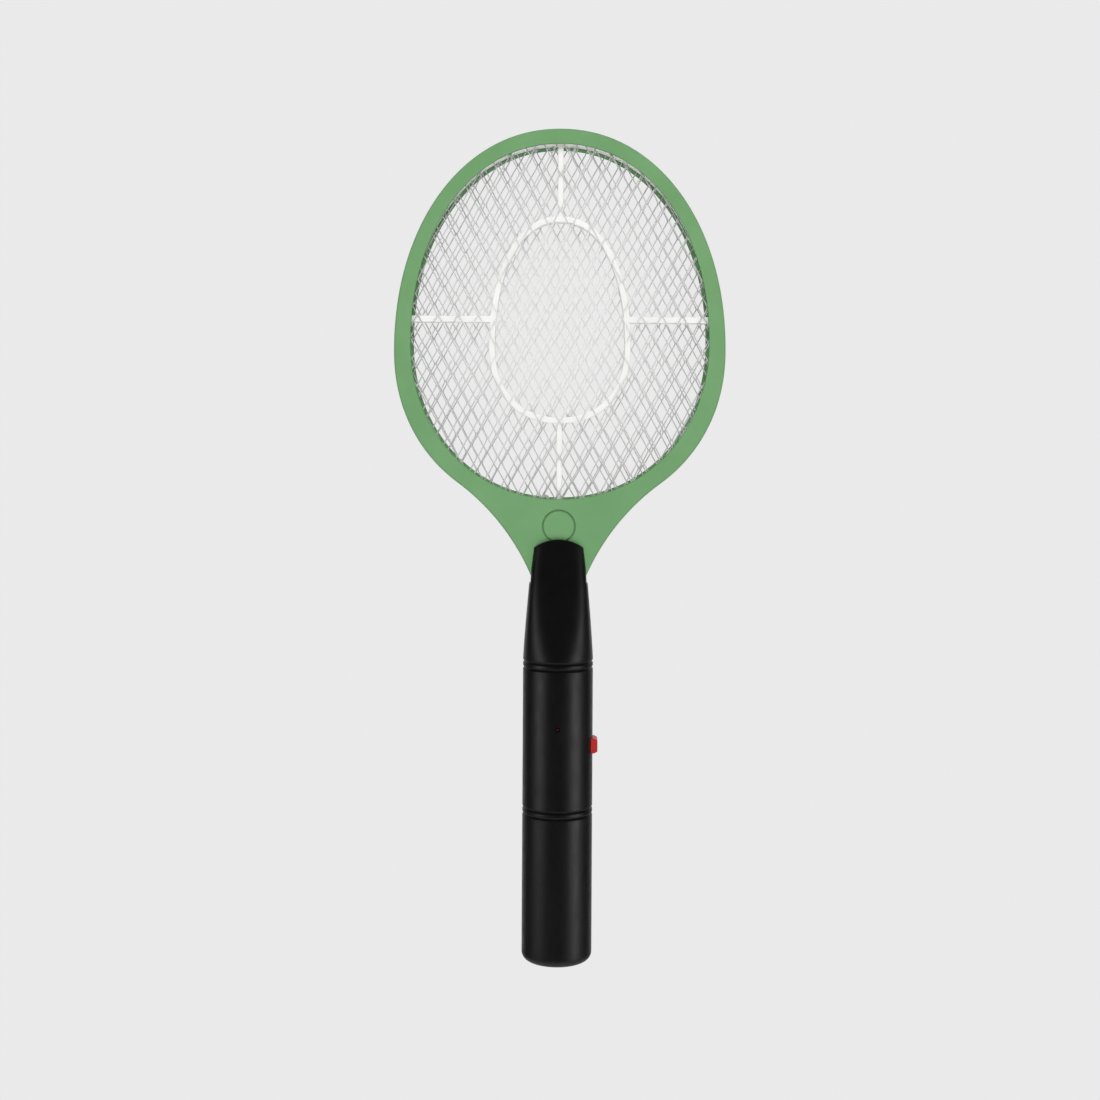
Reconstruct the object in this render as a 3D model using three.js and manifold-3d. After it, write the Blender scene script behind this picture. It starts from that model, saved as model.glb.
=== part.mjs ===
// Electric fly swatter: an oval three-net head in a two-part plastic frame, on a two-part round handle that
// holds two AA cells, the high-voltage board, a push button on its right side and an indicator lamp.
// Millimetres. +Z runs from the handle's butt to the head, the front faces -Y, the button is on +X.
// Heights below are counted from the tip of the hanging lug; the last lines move the origin to the grip.

import * as THREE from 'three';
import { mergeGeometries, mergeVertices } from 'three/addons/utils/BufferGeometryUtils.js';
import Module from 'manifold-3d';

const wasm = await Module();
wasm.setup();

// ---------- driving dimensions ----------

const GRIP_CENTRE_Z = 119.9; // middle of the grip, between the two pairs of grooves

// outlines of the ring: an upper and a lower half-superellipse that meet at centreZ
const HEAD = { centreZ: 322.9, halfWidth: 86.5, top: 115.8, bottom: 85.5, power: 2.09 };
const FRONT_OPENING = { centreZ: 327.3, halfWidth: 77.8, top: 103.4, bottom: 81.9, power: 2.08 };
const REAR_OPENING = { centreZ: 327.3, halfWidth: 77.1, top: 101.7, bottom: 81.5, power: 2.08 };
const RIM_OPENING = { centreZ: 327.3, halfWidth: 79.1, top: 103.2, bottom: 82.3, power: 2.08 }; // spacers
const FRAME_DEPTH = 6.5; // half the thickness of the head
const FRAME_SKIN = 1.8;
const FRAME_WALL = 2;
const PARTING_GAP = 0.15; // half the line between the two halves of the casing

// neck: a concave arc on each side, tangent to the ring
const FLANK_START = THREE.MathUtils.degToRad(53.1); // angle where the flank leaves the ring
const NECK = { halfWidth: 14.9, z: 206.4, endZ: 203.5 };
const TANG = { halfWidth: 12, bottomZ: 186, depth: 6.3 };
const LEAD_CHANNEL = { x: 7, halfWidth: 2, depth: 2.4 };
const NECK_MARK = { z: 231.2, radius: 8.8, groove: 0.9, depth: 0.6 }; // a plain ring pressed into the front

// layers of the head, as distances from the middle plane
const NET_THICKNESS = 0.6;
const OUTER_NET_Y = 4;
const SPACER = { innerY: 0.45, outerY: 3.9, edgeInset: 2.4 };
const SPACER_OVAL = { centreZ: 324.8, halfWidth: 37.1, top: 68.5, bottom: 40, power: 2.2 };
const SPACER_BAND = 3.2;
const SPACER_BAR = { z: 339.2, acrossHeight: 3.4, uprightWidth: 2.9 };
const NET_EDGE_INSET = 2.6;
const NET_HOLE_INSET = 8;
const DIAMOND = { pitchX: 10.65, pitchZ: 18.5, wire: 0.65 };
const NET_COARSENESS = 1.5; // these solids stay light with openings that much larger than the real nets'
const TERMINAL = { x: 7.4, z: 244.9, radius: 2.5, holeRadius: 1.25, tailWidth: 2, thickness: 0.5 };
const TERMINAL_TAIL_Z = 231;
const TERMINAL_NOTCH = 3.4; // half the width of the gap in each spacer's rim around a terminal

// handle
const HANDLE_RADIUS = 18.35;
const HANDLE_WALL = 2.55;
const BUTT_Z = 4;
const BUTT_CORNER = 4.5;
const GROOVE_HEIGHTS = [82.6, 159];
const GROOVE = { spacing: 1.6, halfWidth: 0.75, depth: 0.65 };
const TAPER = { startZ: 161.5, drop: 3, power: 1.2 };
const FACET = { startZ: 163, slope: 0.145 };
const SHOULDER_Z = 201;
const SHOULDER_SQUARENESS = 4; // superellipse exponent of the section at the shoulder; 2 is a plain circle
const TONGUE = { halfWidth: 14.8, narrowing: 1.2, cornerX: 12.75, cornerZ: 220.3, tipZ: 224.5, clearance: 0.1 };
const LUG = { radius: 18, halfWidth: 12, halfThickness: 2.75, holeRadius: 1.5, holeZ: 2.6 };

// screws, all driven from the back
const SCREW = { shank: 1.2, head: 2.7, headHeight: 1.8, hole: 1.6, counterbore: 3.1 };
const SHELL_SCREWS = [
  { name: 'shell_screw_1', z: 208, seatY: 8.6, tipY: -9.4 },
  { name: 'shell_screw_2', z: 170, seatY: 8.6, tipY: -7 },
  { name: 'shell_screw_3', z: 86, seatY: 8.6, tipY: -7 },
];
const SCREW_POST_RADIUS = 3.6;
const COVER_SCREW = { z: 71.5, seatY: 15.4, tipY: 3 };

// battery compartment
const BATTERY = { radius: 7.1, length: 50.5, nubRadius: 2.75, nubHeight: 1.2, x: 7.3 };
const CONTACT = { lowerZ: 8, upperZ: 64.2, thickness: 0.4, halfDepth: 5 };
const BATTERY_SPRING = { wire: 0.35, turns: 3, wideRadius: 4.6, narrowRadius: 3, height: 4.3 };
const DIVIDER = { z: 64.9, thickness: 2, backY: 5 };
const COVER = { halfWidth: 14.7, lowZ: 13, highZ: 75.5, gap: 0.25 };

// board and controls
const BOARD = { halfWidth: 11, frontY: 2, thickness: 1.6, lowZ: 91, highZ: 146 };
const BUTTON = { z: 116.6, halfHeight: 3.9, halfDepth: 5.6, reach: 2.45, chamfer: 0.9, gap: 0.25 };
const BUTTON_FLANGE = { x: 13.2, thickness: 1, halfHeight: 5.6, halfDepth: 6.6 };
const SWITCH = { lowX: 3, highX: 8.6, y: -0.8, halfHeight: 3.5 };
const LAMP = { z: 127.3, radius: 0.95, tipY: -18.15 };

const ROUND_SEGMENTS = 32;
const SMALL_SEGMENTS = 14;
const FAR = 60; // half the size of the blocks that cut a handle shell in two

// ---------- materials ----------

function material(colour, roughness, metalness = 0) {
  return new THREE.MeshStandardMaterial({ color: colour, roughness, metalness });
}

const greenPlastic = material(0x76a373, 0.6);
const blackPlastic = material(0x1c1d1b, 0.5);
const whitePlastic = material(0xf2f2ee, 0.5);
const redPlastic = material(0xb42d2b, 0.45);
const darkPlastic = material(0x2a2a2c, 0.5);
const netWire = material(0xb4b6b5, 0.35, 0.9);
const plated = material(0xc9cac8, 0.3, 0.95);
const screwSteel = material(0x8d8f90, 0.35, 0.95);
const lampRed = material(0xc21f1c, 0.2);
const boardGreen = material(0x2f6b45, 0.5);
const ferrite = material(0x3a3a3c, 0.8);
const copper = material(0xb4683a, 0.35, 0.8);
const capacitorRed = material(0x8a3a22, 0.4);
const ceramicBlue = material(0x2f62a8, 0.4);
const resistorTan = material(0xc9ab7a, 0.5);
const cellJacket = material(0x3d5a86, 0.35, 0.4);
const redInsulation = material(0xb0302c, 0.5);
const blackInsulation = material(0x202022, 0.5);

// ---------- solids ----------

function toSolid(geometry) {
  const bare = new THREE.BufferGeometry();
  bare.setAttribute('position', geometry.getAttribute('position'));
  if (geometry.index) bare.setIndex(geometry.index);
  const welded = mergeVertices(bare, 1e-4);
  return new wasm.Manifold(new wasm.Mesh({
    numProp: 3,
    vertProperties: new Float32Array(welded.getAttribute('position').array),
    triVerts: new Uint32Array(welded.index.array),
  }));
}

function toGeometry(solid) {
  const mesh = solid.getMesh();
  const geometry = new THREE.BufferGeometry();
  geometry.setAttribute('position', new THREE.BufferAttribute(mesh.vertProperties, 3));
  geometry.setIndex(new THREE.BufferAttribute(mesh.triVerts, 1));
  return geometry;
}

function joined(first, ...others) {
  return others.reduce((whole, solid) => whole.add(solid), first);
}

function cut(first, ...others) {
  return others.reduce((whole, solid) => whole.subtract(solid), first);
}

// A block between two opposite corners.
function block([x0, y0, z0], [x1, y1, z1]) {
  const geometry = new THREE.BoxGeometry(x1 - x0, y1 - y0, z1 - z0);
  return toSolid(geometry.translate((x0 + x1) / 2, (y0 + y1) / 2, (z0 + z1) / 2));
}

// A block given from the middle plane outwards, on the front (side -1) or the back (side 1).
function sideBlock(side, [x0, x1], [near, far], [z0, z1]) {
  const ys = [side * near, side * far].sort((a, b) => a - b);
  return block([x0, ys[0], z0], [x1, ys[1], z1]);
}

function rodX(y, z, radius, x0, x1, segments = SMALL_SEGMENTS) {
  const geometry = new THREE.CylinderGeometry(radius, radius, x1 - x0, segments);
  return toSolid(geometry.rotateZ(Math.PI / 2).translate((x0 + x1) / 2, y, z));
}

function rodY(x, z, radius, ya, yb, segments = SMALL_SEGMENTS) {
  const geometry = new THREE.CylinderGeometry(radius, radius, Math.abs(yb - ya), segments);
  return toSolid(geometry.translate(x, (ya + yb) / 2, z));
}

function rodZ(x, y, radius, z0, z1, segments = SMALL_SEGMENTS) {
  const geometry = new THREE.CylinderGeometry(radius, radius, z1 - z0, segments);
  return toSolid(geometry.rotateX(Math.PI / 2).translate(x, y, (z0 + z1) / 2));
}

// A shape drawn in x and z, made into a plate between two values of y.
function plate(shape, ya, yb, curveSegments = 8) {
  const geometry = new THREE.ExtrudeGeometry(shape, {
    depth: Math.abs(yb - ya), bevelEnabled: false, curveSegments,
  });
  return toSolid(geometry.rotateX(Math.PI / 2).translate(0, Math.max(ya, yb), 0));
}

// A tube of round section along a smooth curve through the given points.
function tube(points, radius, steps, sides = 6) {
  const path = new THREE.CatmullRomCurve3(points.map((point) => new THREE.Vector3(...point)));
  return toSolid(extrudeAlong(path, radius, steps, sides));
}

function extrudeAlong(path, radius, steps, sides) {
  const section = new THREE.Shape();
  for (let side = 0; side < sides; side += 1) {
    const angle = (2 * Math.PI * side) / sides;
    const corner = [radius * Math.cos(angle), radius * Math.sin(angle)];
    if (side === 0) section.moveTo(...corner);
    else section.lineTo(...corner);
  }
  return new THREE.ExtrudeGeometry(section, { steps, bevelEnabled: false, extrudePath: path });
}

// ---------- outlines of the head ----------

function arcPoints(centreX, centreZ, radiusX, radiusZ, from, to, segments) {
  const points = [];
  for (let step = 0; step <= segments; step += 1) {
    const angle = from + ((to - from) * step) / segments;
    points.push(new THREE.Vector2(
      centreX + radiusX * Math.cos(angle),
      centreZ + radiusZ * Math.sin(angle),
    ));
  }
  return points;
}

// One outline of the ring, moved inwards by inset.
function ovalPoints(form, inset, segments = 56, from = -Math.PI / 2, to = (3 * Math.PI) / 2) {
  const bent = (value) => Math.sign(value) * Math.abs(value) ** (2 / form.power);
  return arcPoints(0, 0, 1, 1, from, to, segments).map(({ x, y }) => new THREE.Vector2(
    (form.halfWidth - inset) * bent(x),
    form.centreZ + ((y > 0 ? form.top : form.bottom) - inset) * bent(y),
  ));
}

function closedShape(points) {
  const last = points.length - 1;
  const repeats = points[0].distanceTo(points[last]) < 1e-6;
  return new THREE.Shape(repeats ? points.slice(0, last) : points);
}

function ovalShape(form, inset = 0, segments = 56) {
  return closedShape(ovalPoints(form, inset, segments));
}

// The circle that leaves the ring at FLANK_START, tangent to it, and passes the neck's edge.
function flankCircle() {
  const [touch] = ovalPoints(HEAD, 0, 1, -FLANK_START, 0);
  const steepness = HEAD.power - 1;
  const normal = new THREE.Vector2(
    (touch.x / HEAD.halfWidth) ** steepness / HEAD.halfWidth,
    -(((HEAD.centreZ - touch.y) / HEAD.bottom) ** steepness) / HEAD.bottom,
  ).normalize();
  const toNeck = new THREE.Vector2(NECK.halfWidth, NECK.z).sub(touch);
  const radius = toNeck.lengthSq() / (2 * normal.dot(toNeck));
  return { centre: touch.clone().addScaledVector(normal, radius), radius, touch };
}

// Head and neck in one outline, moved inwards by inset.
function headPoints(inset, segments = 50) {
  const { centre, radius, touch } = flankCircle();
  const arcRadius = radius + inset;
  const startAngle = Math.atan2(touch.y - centre.y, touch.x - centre.x);
  const endAngle = Math.PI - Math.asin((NECK.endZ + inset - centre.y) / arcRadius);
  const right = arcPoints(centre.x, centre.y, arcRadius, arcRadius, endAngle, startAngle, 7);
  const ring = ovalPoints(HEAD, inset, segments, -FLANK_START, Math.PI + FLANK_START);
  const left = right.map(({ x, y }) => new THREE.Vector2(-x, y)).reverse();
  return [...right.slice(0, -1), ...ring, ...left.slice(1)];
}

function headShape(inset) {
  return new THREE.Shape(headPoints(inset));
}

// ---------- frame of the head ----------

function frameHalf(side, opening) {
  const face = cut(
    plate(headShape(0), side * (FRAME_DEPTH - FRAME_SKIN), side * FRAME_DEPTH),
    plate(ovalShape(opening), 0, side * (FRAME_DEPTH + 1)),
  );
  const wall = cut(
    plate(headShape(0), side * PARTING_GAP, side * FRAME_DEPTH),
    plate(headShape(FRAME_WALL), 0, side * (FRAME_DEPTH + 1)),
  );
  const tang = sideBlock(
    side,
    [-TANG.halfWidth, TANG.halfWidth],
    [PARTING_GAP, TANG.depth],
    [TANG.bottomZ, NECK.endZ + FRAME_WALL],
  );
  const post = rodY(0, SHELL_SCREWS[0].z, SCREW_POST_RADIUS, side * PARTING_GAP, side * FRAME_DEPTH);
  const channels = [-1, 1].map((hand) => sideBlock(
    side,
    [hand * LEAD_CHANNEL.x - LEAD_CHANNEL.halfWidth, hand * LEAD_CHANNEL.x + LEAD_CHANNEL.halfWidth],
    [0, LEAD_CHANNEL.depth],
    [TANG.bottomZ - 1, NECK.endZ + FRAME_WALL + 1],
  ));
  const screwHole = rodY(0, SHELL_SCREWS[0].z, SCREW.hole, 0, side * (FRAME_DEPTH + 1));
  return cut(joined(face, wall, tang, post), ...channels, screwHole);
}

function ringGroove(radius) {
  const outside = rodY(0, NECK_MARK.z, radius, -FRAME_DEPTH - 1, NECK_MARK.depth - FRAME_DEPTH, 24);
  return cut(outside, rodY(0, NECK_MARK.z, radius - NECK_MARK.groove, -FRAME_DEPTH - 2, 0, 24));
}

function makeFrontFrame() {
  return cut(frameHalf(-1, FRONT_OPENING), ringGroove(NECK_MARK.radius));
}

function makeRearFrame() {
  return frameHalf(1, REAR_OPENING);
}

// ---------- nets and spacers ----------

function insideOval(x, z, inset) {
  const reach = z > HEAD.centreZ ? HEAD.top : HEAD.bottom;
  const across = (Math.abs(x) / (HEAD.halfWidth - inset)) ** HEAD.power;
  return across + (Math.abs(z - HEAD.centreZ) / (reach - inset)) ** HEAD.power < 1;
}

// One opening of a net, narrowed by half a wire on every side.
function diamondPrism(x, z, y) {
  const halfX = (DIAMOND.pitchX * NET_COARSENESS) / 2;
  const halfZ = (DIAMOND.pitchZ * NET_COARSENESS) / 2;
  const toSide = (halfX * halfZ) / Math.hypot(halfX, halfZ);
  const left = 1 - DIAMOND.wire / 2 / toSide;
  const shape = new THREE.Shape([
    new THREE.Vector2(x + halfX * left, z),
    new THREE.Vector2(x, z + halfZ * left),
    new THREE.Vector2(x - halfX * left, z),
    new THREE.Vector2(x, z - halfZ * left),
  ]);
  const geometry = new THREE.ExtrudeGeometry(shape, { depth: 3, bevelEnabled: false });
  return geometry.rotateX(Math.PI / 2).translate(0, y + 1.5, 0);
}

// A net of staggered diamonds in a solid border that the frame grips. y is its middle plane.
function diamondNet(y, shiftX, shiftZ) {
  const prisms = [];
  const stepX = DIAMOND.pitchX * NET_COARSENESS;
  const stepZ = (DIAMOND.pitchZ * NET_COARSENESS) / 2;
  const rows = Math.ceil(HEAD.top / stepZ);
  const columns = Math.ceil(HEAD.halfWidth / stepX);
  for (let row = -rows; row <= rows; row += 1) {
    for (let column = -columns; column <= columns; column += 1) {
      const x = shiftX + (column + (row % 2 ? 0.5 : 0)) * stepX;
      const z = HEAD.centreZ + shiftZ + row * stepZ;
      const corners = [[x - stepX / 3, z], [x + stepX / 3, z], [x, z - stepZ / 1.5], [x, z + stepZ / 1.5]];
      if (corners.some(([cx, cz]) => insideOval(cx, cz, NET_HOLE_INSET))) {
        prisms.push(diamondPrism(x, z, y));
      }
    }
  }
  const window = plate(ovalShape(HEAD, NET_HOLE_INSET, 48), y - 2, y + 2);
  const sheet = plate(ovalShape(HEAD, NET_EDGE_INSET, 48), y - NET_THICKNESS / 2, y + NET_THICKNESS / 2);
  return sheet.subtract(toSolid(mergeGeometries(prisms)).intersect(window));
}

// The spacer keeps two nets apart: a rim under the frame's lip, an oval and four bars.
function makeSpacer(side) {
  const near = side * SPACER.innerY;
  const far = side * SPACER.outerY;
  const beyond = side * (SPACER.outerY + 1);
  const insideRim = plate(ovalShape(RIM_OPENING), 0, beyond);
  const rim = cut(plate(ovalShape(HEAD, SPACER.edgeInset), near, far), insideRim);
  const ovalHole = plate(ovalShape(SPACER_OVAL, SPACER_BAND, 36), 0, beyond);
  const oval = plate(ovalShape(SPACER_OVAL, 0, 36), near, far);
  const across = sideBlock(
    side,
    [-HEAD.halfWidth, HEAD.halfWidth],
    [SPACER.innerY, SPACER.outerY],
    [SPACER_BAR.z - SPACER_BAR.acrossHeight / 2, SPACER_BAR.z + SPACER_BAR.acrossHeight / 2],
  );
  const upright = sideBlock(
    side,
    [-SPACER_BAR.uprightWidth / 2, SPACER_BAR.uprightWidth / 2],
    [SPACER.innerY, SPACER.outerY],
    [HEAD.centreZ - HEAD.bottom, HEAD.centreZ + HEAD.top],
  );
  const limit = plate(ovalShape(HEAD, SPACER.edgeInset + 1), 0, beyond);
  const bars = joined(across, upright).intersect(limit);
  const notches = [-1, 1].map((hand) => sideBlock(
    side,
    [hand * TERMINAL.x - TERMINAL_NOTCH, hand * TERMINAL.x + TERMINAL_NOTCH],
    [0, SPACER.outerY + 1],
    [HEAD.centreZ - HEAD.bottom, TERMINAL.z + TERMINAL_NOTCH],
  ));
  return cut(joined(rim, oval, bars), ovalHole, ...notches);
}

// A pierced tag fixed to a net, with a tail that its lead is soldered to.
function makeTerminal(x, y, ringZ) {
  const low = y - TERMINAL.thickness / 2;
  const high = y + TERMINAL.thickness / 2;
  const halfTail = TERMINAL.tailWidth / 2;
  const ring = rodY(x, ringZ, TERMINAL.radius, low, high);
  const tail = block([x - halfTail, low, TERMINAL_TAIL_Z], [x + halfTail, high, ringZ]);
  return cut(joined(ring, tail), rodY(x, ringZ, TERMINAL.holeRadius, low - 1, high + 1, 12));
}

// ---------- handle ----------

function taperRadius(z) {
  const along = Math.max(0, z - TAPER.startZ) / (SHOULDER_Z - TAPER.startZ);
  return HANDLE_RADIUS - TAPER.drop * along ** TAPER.power;
}

// Distance from the axis to the handle's surface at one height and direction. The section starts as a circle
// and becomes flatter and squarer towards the shoulder. wall moves the surface inwards.
function sectionRadius(z, angle, wall) {
  const halfWidth = taperRadius(z) - wall;
  const halfDepth = Math.min(halfWidth, HANDLE_RADIUS - wall - FACET.slope * Math.max(0, z - FACET.startZ));
  const along = Math.min(1, Math.max(0, z - TAPER.startZ) / (SHOULDER_Z - TAPER.startZ));
  const power = 2 + (SHOULDER_SQUARENESS - 2) * along;
  const across = (Math.abs(Math.cos(angle)) / halfWidth) ** power;
  const through = (Math.abs(Math.sin(angle)) / halfDepth) ** power;
  return (across + through) ** (-1 / power);
}

// A lathe form about Z whose rings above the taper's start take the handle's changing section.
function handleForm(profile, wall) {
  const geometry = new THREE.LatheGeometry(profile, ROUND_SEGMENTS).rotateX(Math.PI / 2);
  const position = geometry.getAttribute('position');
  for (let index = 0; index < position.count; index += 1) {
    const x = position.getX(index);
    const y = position.getY(index);
    const z = position.getZ(index);
    if (z > TAPER.startZ && Math.hypot(x, y) > 1) {
      const angle = Math.atan2(y, x);
      const radius = sectionRadius(z, angle, wall);
      position.setXYZ(index, radius * Math.cos(angle), radius * Math.sin(angle), z);
    }
  }
  return toSolid(geometry);
}

function groovePoints(centreZ) {
  const points = [];
  for (const middle of [centreZ - GROOVE.spacing, centreZ + GROOVE.spacing]) {
    points.push(new THREE.Vector2(HANDLE_RADIUS, middle - GROOVE.halfWidth));
    points.push(new THREE.Vector2(HANDLE_RADIUS - GROOVE.depth, middle));
    points.push(new THREE.Vector2(HANDLE_RADIUS, middle + GROOVE.halfWidth));
  }
  return points;
}

const SECTION_HEIGHTS = [165, 172, 180, 190, SHOULDER_Z, 212, TONGUE.tipZ + 2];

function outerForm() {
  const corner = arcPoints(
    HANDLE_RADIUS - BUTT_CORNER, BUTT_Z + BUTT_CORNER, BUTT_CORNER, BUTT_CORNER, -Math.PI / 2, 0, 4,
  );
  const rings = SECTION_HEIGHTS.map((z) => new THREE.Vector2(taperRadius(z), z));
  const profile = [
    new THREE.Vector2(0, BUTT_Z),
    ...corner,
    ...GROOVE_HEIGHTS.flatMap(groovePoints),
    ...rings,
    new THREE.Vector2(0, TONGUE.tipZ + 2),
  ];
  return handleForm(profile, 0);
}

function innerForm() {
  const topZ = SHOULDER_Z - FRAME_WALL;
  const radius = HANDLE_RADIUS - HANDLE_WALL;
  const heights = [TAPER.startZ, 165, 172, 180, 190, topZ];
  const profile = [
    new THREE.Vector2(0, BUTT_Z + 2.5),
    new THREE.Vector2(radius - 2.5, BUTT_Z + 2.5),
    new THREE.Vector2(radius, BUTT_Z + 5),
    ...heights.map((z) => new THREE.Vector2(taperRadius(z) - HANDLE_WALL, z)),
    new THREE.Vector2(0, topZ),
  ];
  return handleForm(profile, HANDLE_WALL);
}

// The tongue that laps over the neck, seen from the front.
function tongueShape() {
  const { halfWidth, narrowing, cornerX, cornerZ, tipZ } = TONGUE;
  const lowZ = SHOULDER_Z - 1;
  const sideX = halfWidth - narrowing;
  const sideZ = cornerZ - 2;
  const radius = (cornerX ** 2 + (tipZ - cornerZ) ** 2) / (2 * (tipZ - cornerZ));
  const halfAngle = Math.asin(cornerX / radius);
  const shape = new THREE.Shape();
  shape.moveTo(-halfWidth, lowZ);
  shape.lineTo(halfWidth, lowZ);
  shape.lineTo(sideX, sideZ);
  shape.quadraticCurveTo(sideX - 0.15, cornerZ - 0.6, cornerX, cornerZ);
  shape.absarc(0, tipZ - radius, radius, Math.PI / 2 - halfAngle, Math.PI / 2 + halfAngle, false);
  shape.quadraticCurveTo(0.15 - sideX, cornerZ - 0.6, -sideX, sideZ);
  return shape;
}

// A flat lug whose lower edge is an arc; its top is inside the butt.
function lugHalf(side) {
  const halfAngle = Math.asin(LUG.halfWidth / LUG.radius);
  const down = -Math.PI / 2;
  const outline = [
    ...arcPoints(0, LUG.radius, LUG.radius, LUG.radius, down - halfAngle, down + halfAngle, 14),
    new THREE.Vector2(LUG.halfWidth, BUTT_Z + 1),
    new THREE.Vector2(-LUG.halfWidth, BUTT_Z + 1),
  ];
  return cut(
    plate(new THREE.Shape(outline), side * PARTING_GAP, side * LUG.halfThickness),
    rodY(0, LUG.holeZ, LUG.holeRadius, 0, side * (LUG.halfThickness + 1)),
  );
}

// Everything of the handle's skin that one shell holds: half the tube, half the lug and one tongue.
function shellHalf(side) {
  const outer = outerForm();
  const half = sideBlock(side, [-FAR, FAR], [PARTING_GAP, FAR], [-1, SHOULDER_Z]);
  const skin = outer.intersect(half).subtract(innerForm());
  const tongue = plate(tongueShape(), side * (FRAME_DEPTH + TONGUE.clearance), side * FAR).intersect(outer);
  const mouth = block([-TANG.halfWidth - 0.3, -7, SHOULDER_Z - 4], [TANG.halfWidth + 0.3, 7, SHOULDER_Z + 1]);
  const frameSlot = sideBlock(side, [-FAR, FAR], [0, FRAME_DEPTH + TONGUE.clearance], [SHOULDER_Z, 300]);
  return cut(joined(skin, tongue), mouth, frameSlot).add(lugHalf(side));
}

// Opening for the button, shared by both shells.
function buttonHole() {
  const halfHeight = BUTTON.halfHeight + BUTTON.gap;
  const halfDepth = BUTTON.halfDepth + BUTTON.gap;
  return block(
    [HANDLE_RADIUS - 5, -halfDepth, BUTTON.z - halfHeight],
    [HANDLE_RADIUS + 2, halfDepth, BUTTON.z + halfHeight],
  );
}

function frontPost(z, radius, backY, holeEndY) {
  return {
    post: rodY(0, z, radius, -HANDLE_RADIUS + 1.5, backY),
    hole: rodY(0, z, SCREW.shank + 0.3, holeEndY, backY + 1),
  };
}

function makeFrontShell() {
  const inside = sideBlock(-1, [-FAR, FAR], [-FAR, FAR], [BUTT_Z, SHOULDER_Z]).intersect(outerForm());
  const lower = frontPost(SHELL_SCREWS[2].z, SCREW_POST_RADIUS, -PARTING_GAP, -8);
  const upper = frontPost(SHELL_SCREWS[1].z, SCREW_POST_RADIUS, -PARTING_GAP, -8);
  const cover = frontPost(COVER_SCREW.z, 3, COVER_SCREW.seatY - 4.2, 1);
  const posts = joined(lower.post, upper.post, cover.post).intersect(inside);
  const tongueHole = rodY(0, SHELL_SCREWS[0].z, SCREW.shank + 0.3, -10, -FRAME_DEPTH);
  const lampHole = rodY(0, LAMP.z, LAMP.radius + 0.15, -HANDLE_RADIUS - 1, -HANDLE_RADIUS + 4);
  const whole = joined(shellHalf(-1), posts, divider());
  return cut(whole, lower.hole, upper.hole, cover.hole, tongueHole, lampHole, buttonHole());
}

// The wall between the battery compartment and the board, with a notch for each battery lead.
function divider() {
  const { z, thickness, backY } = DIVIDER;
  const innerRadius = HANDLE_RADIUS - HANDLE_WALL;
  const front = rodZ(0, 0, innerRadius + 0.8, z, z + thickness, ROUND_SEGMENTS)
    .intersect(block([-FAR, -FAR, z - 1], [FAR, -PARTING_GAP, z + 5]));
  const back = rodZ(0, 0, innerRadius - 0.4, z, z + thickness, ROUND_SEGMENTS)
    .intersect(block([-FAR, -PARTING_GAP - 1, z - 1], [FAR, backY, z + 5]));
  const notches = [-1, 1].map((hand) => block(
    [hand * LEAD_CHANNEL.x - 1.5, backY - 4, z - 1],
    [hand * LEAD_CHANNEL.x + 1.5, backY + 1, z + 5],
  ));
  return cut(joined(front, back), ...notches);
}

function rearPost({ z, seatY }, nearY) {
  const outside = HANDLE_RADIUS + 1;
  return {
    post: rodY(0, z, SCREW_POST_RADIUS + 0.6, nearY, outside),
    hole: joined(rodY(0, z, SCREW.hole, 0, outside), rodY(0, z, SCREW.counterbore, seatY, outside)),
  };
}

function coverOpening(gap) {
  const { halfWidth, lowZ, highZ } = COVER;
  return block([-halfWidth - gap, PARTING_GAP - 1, lowZ - gap], [halfWidth + gap, FAR, highZ + gap]);
}

// Two ribs that the back of the board rests on.
function boardRests() {
  const backY = BOARD.frontY + BOARD.thickness + 0.1;
  return [-1, 1].map((hand) => block(
    [hand * 8 - 0.8, backY, BOARD.lowZ + 6], [hand * 8 + 0.8, HANDLE_RADIUS, BOARD.highZ - 6],
  ));
}

function makeRearShell() {
  const inside = outerForm();
  const posts = SHELL_SCREWS.slice(1).map((screw) => rearPost(screw, PARTING_GAP));
  const solids = joined(...posts.map(({ post }) => post), ...boardRests()).intersect(inside);
  const tongueHole = rearPost(SHELL_SCREWS[0], PARTING_GAP).hole;
  const whole = joined(shellHalf(1), solids);
  return cut(whole, ...posts.map(({ hole }) => hole), tongueHole, buttonHole(), coverOpening(COVER.gap));
}

function makeBatteryCover() {
  const outer = outerForm();
  const lid = outer.subtract(innerForm()).intersect(coverOpening(0));
  const seat = rodY(0, COVER_SCREW.z, 4.2, COVER_SCREW.seatY - 4, HANDLE_RADIUS).intersect(outer)
    .intersect(coverOpening(0));
  const outside = HANDLE_RADIUS + 1;
  const hole = rodY(0, COVER_SCREW.z, SCREW.hole, 0, outside);
  const counterbore = rodY(0, COVER_SCREW.z, SCREW.counterbore, COVER_SCREW.seatY, outside);
  const thumbGrooves = [20, 23, 26, 29].map((z) => block(
    [-6, HANDLE_RADIUS - 0.6, z - 0.5], [6, outside, z + 0.5],
  ));
  return cut(joined(lid, seat), hole, counterbore, ...thumbGrooves);
}

// ---------- screws ----------

function makeScrew(z, seatY, tipY) {
  const { shank, head, headHeight } = SCREW;
  const profile = [
    [0, tipY], [shank, tipY + 1.5], [shank, seatY], [head, seatY],
    [head, seatY + headHeight * 0.6], [head * 0.6, seatY + headHeight], [0, seatY + headHeight],
  ].map(([radius, y]) => new THREE.Vector2(radius, y));
  const body = toSolid(new THREE.LatheGeometry(profile, 12).translate(0, 0, z));
  const top = seatY + headHeight;
  const slots = joined(
    block([-1.5, top - 0.9, z - 0.35], [1.5, top + 1, z + 0.35]),
    block([-0.35, top - 0.9, z - 1.5], [0.35, top + 1, z + 1.5]),
  );
  return cut(body, slots);
}

// ---------- cells and contacts ----------

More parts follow.
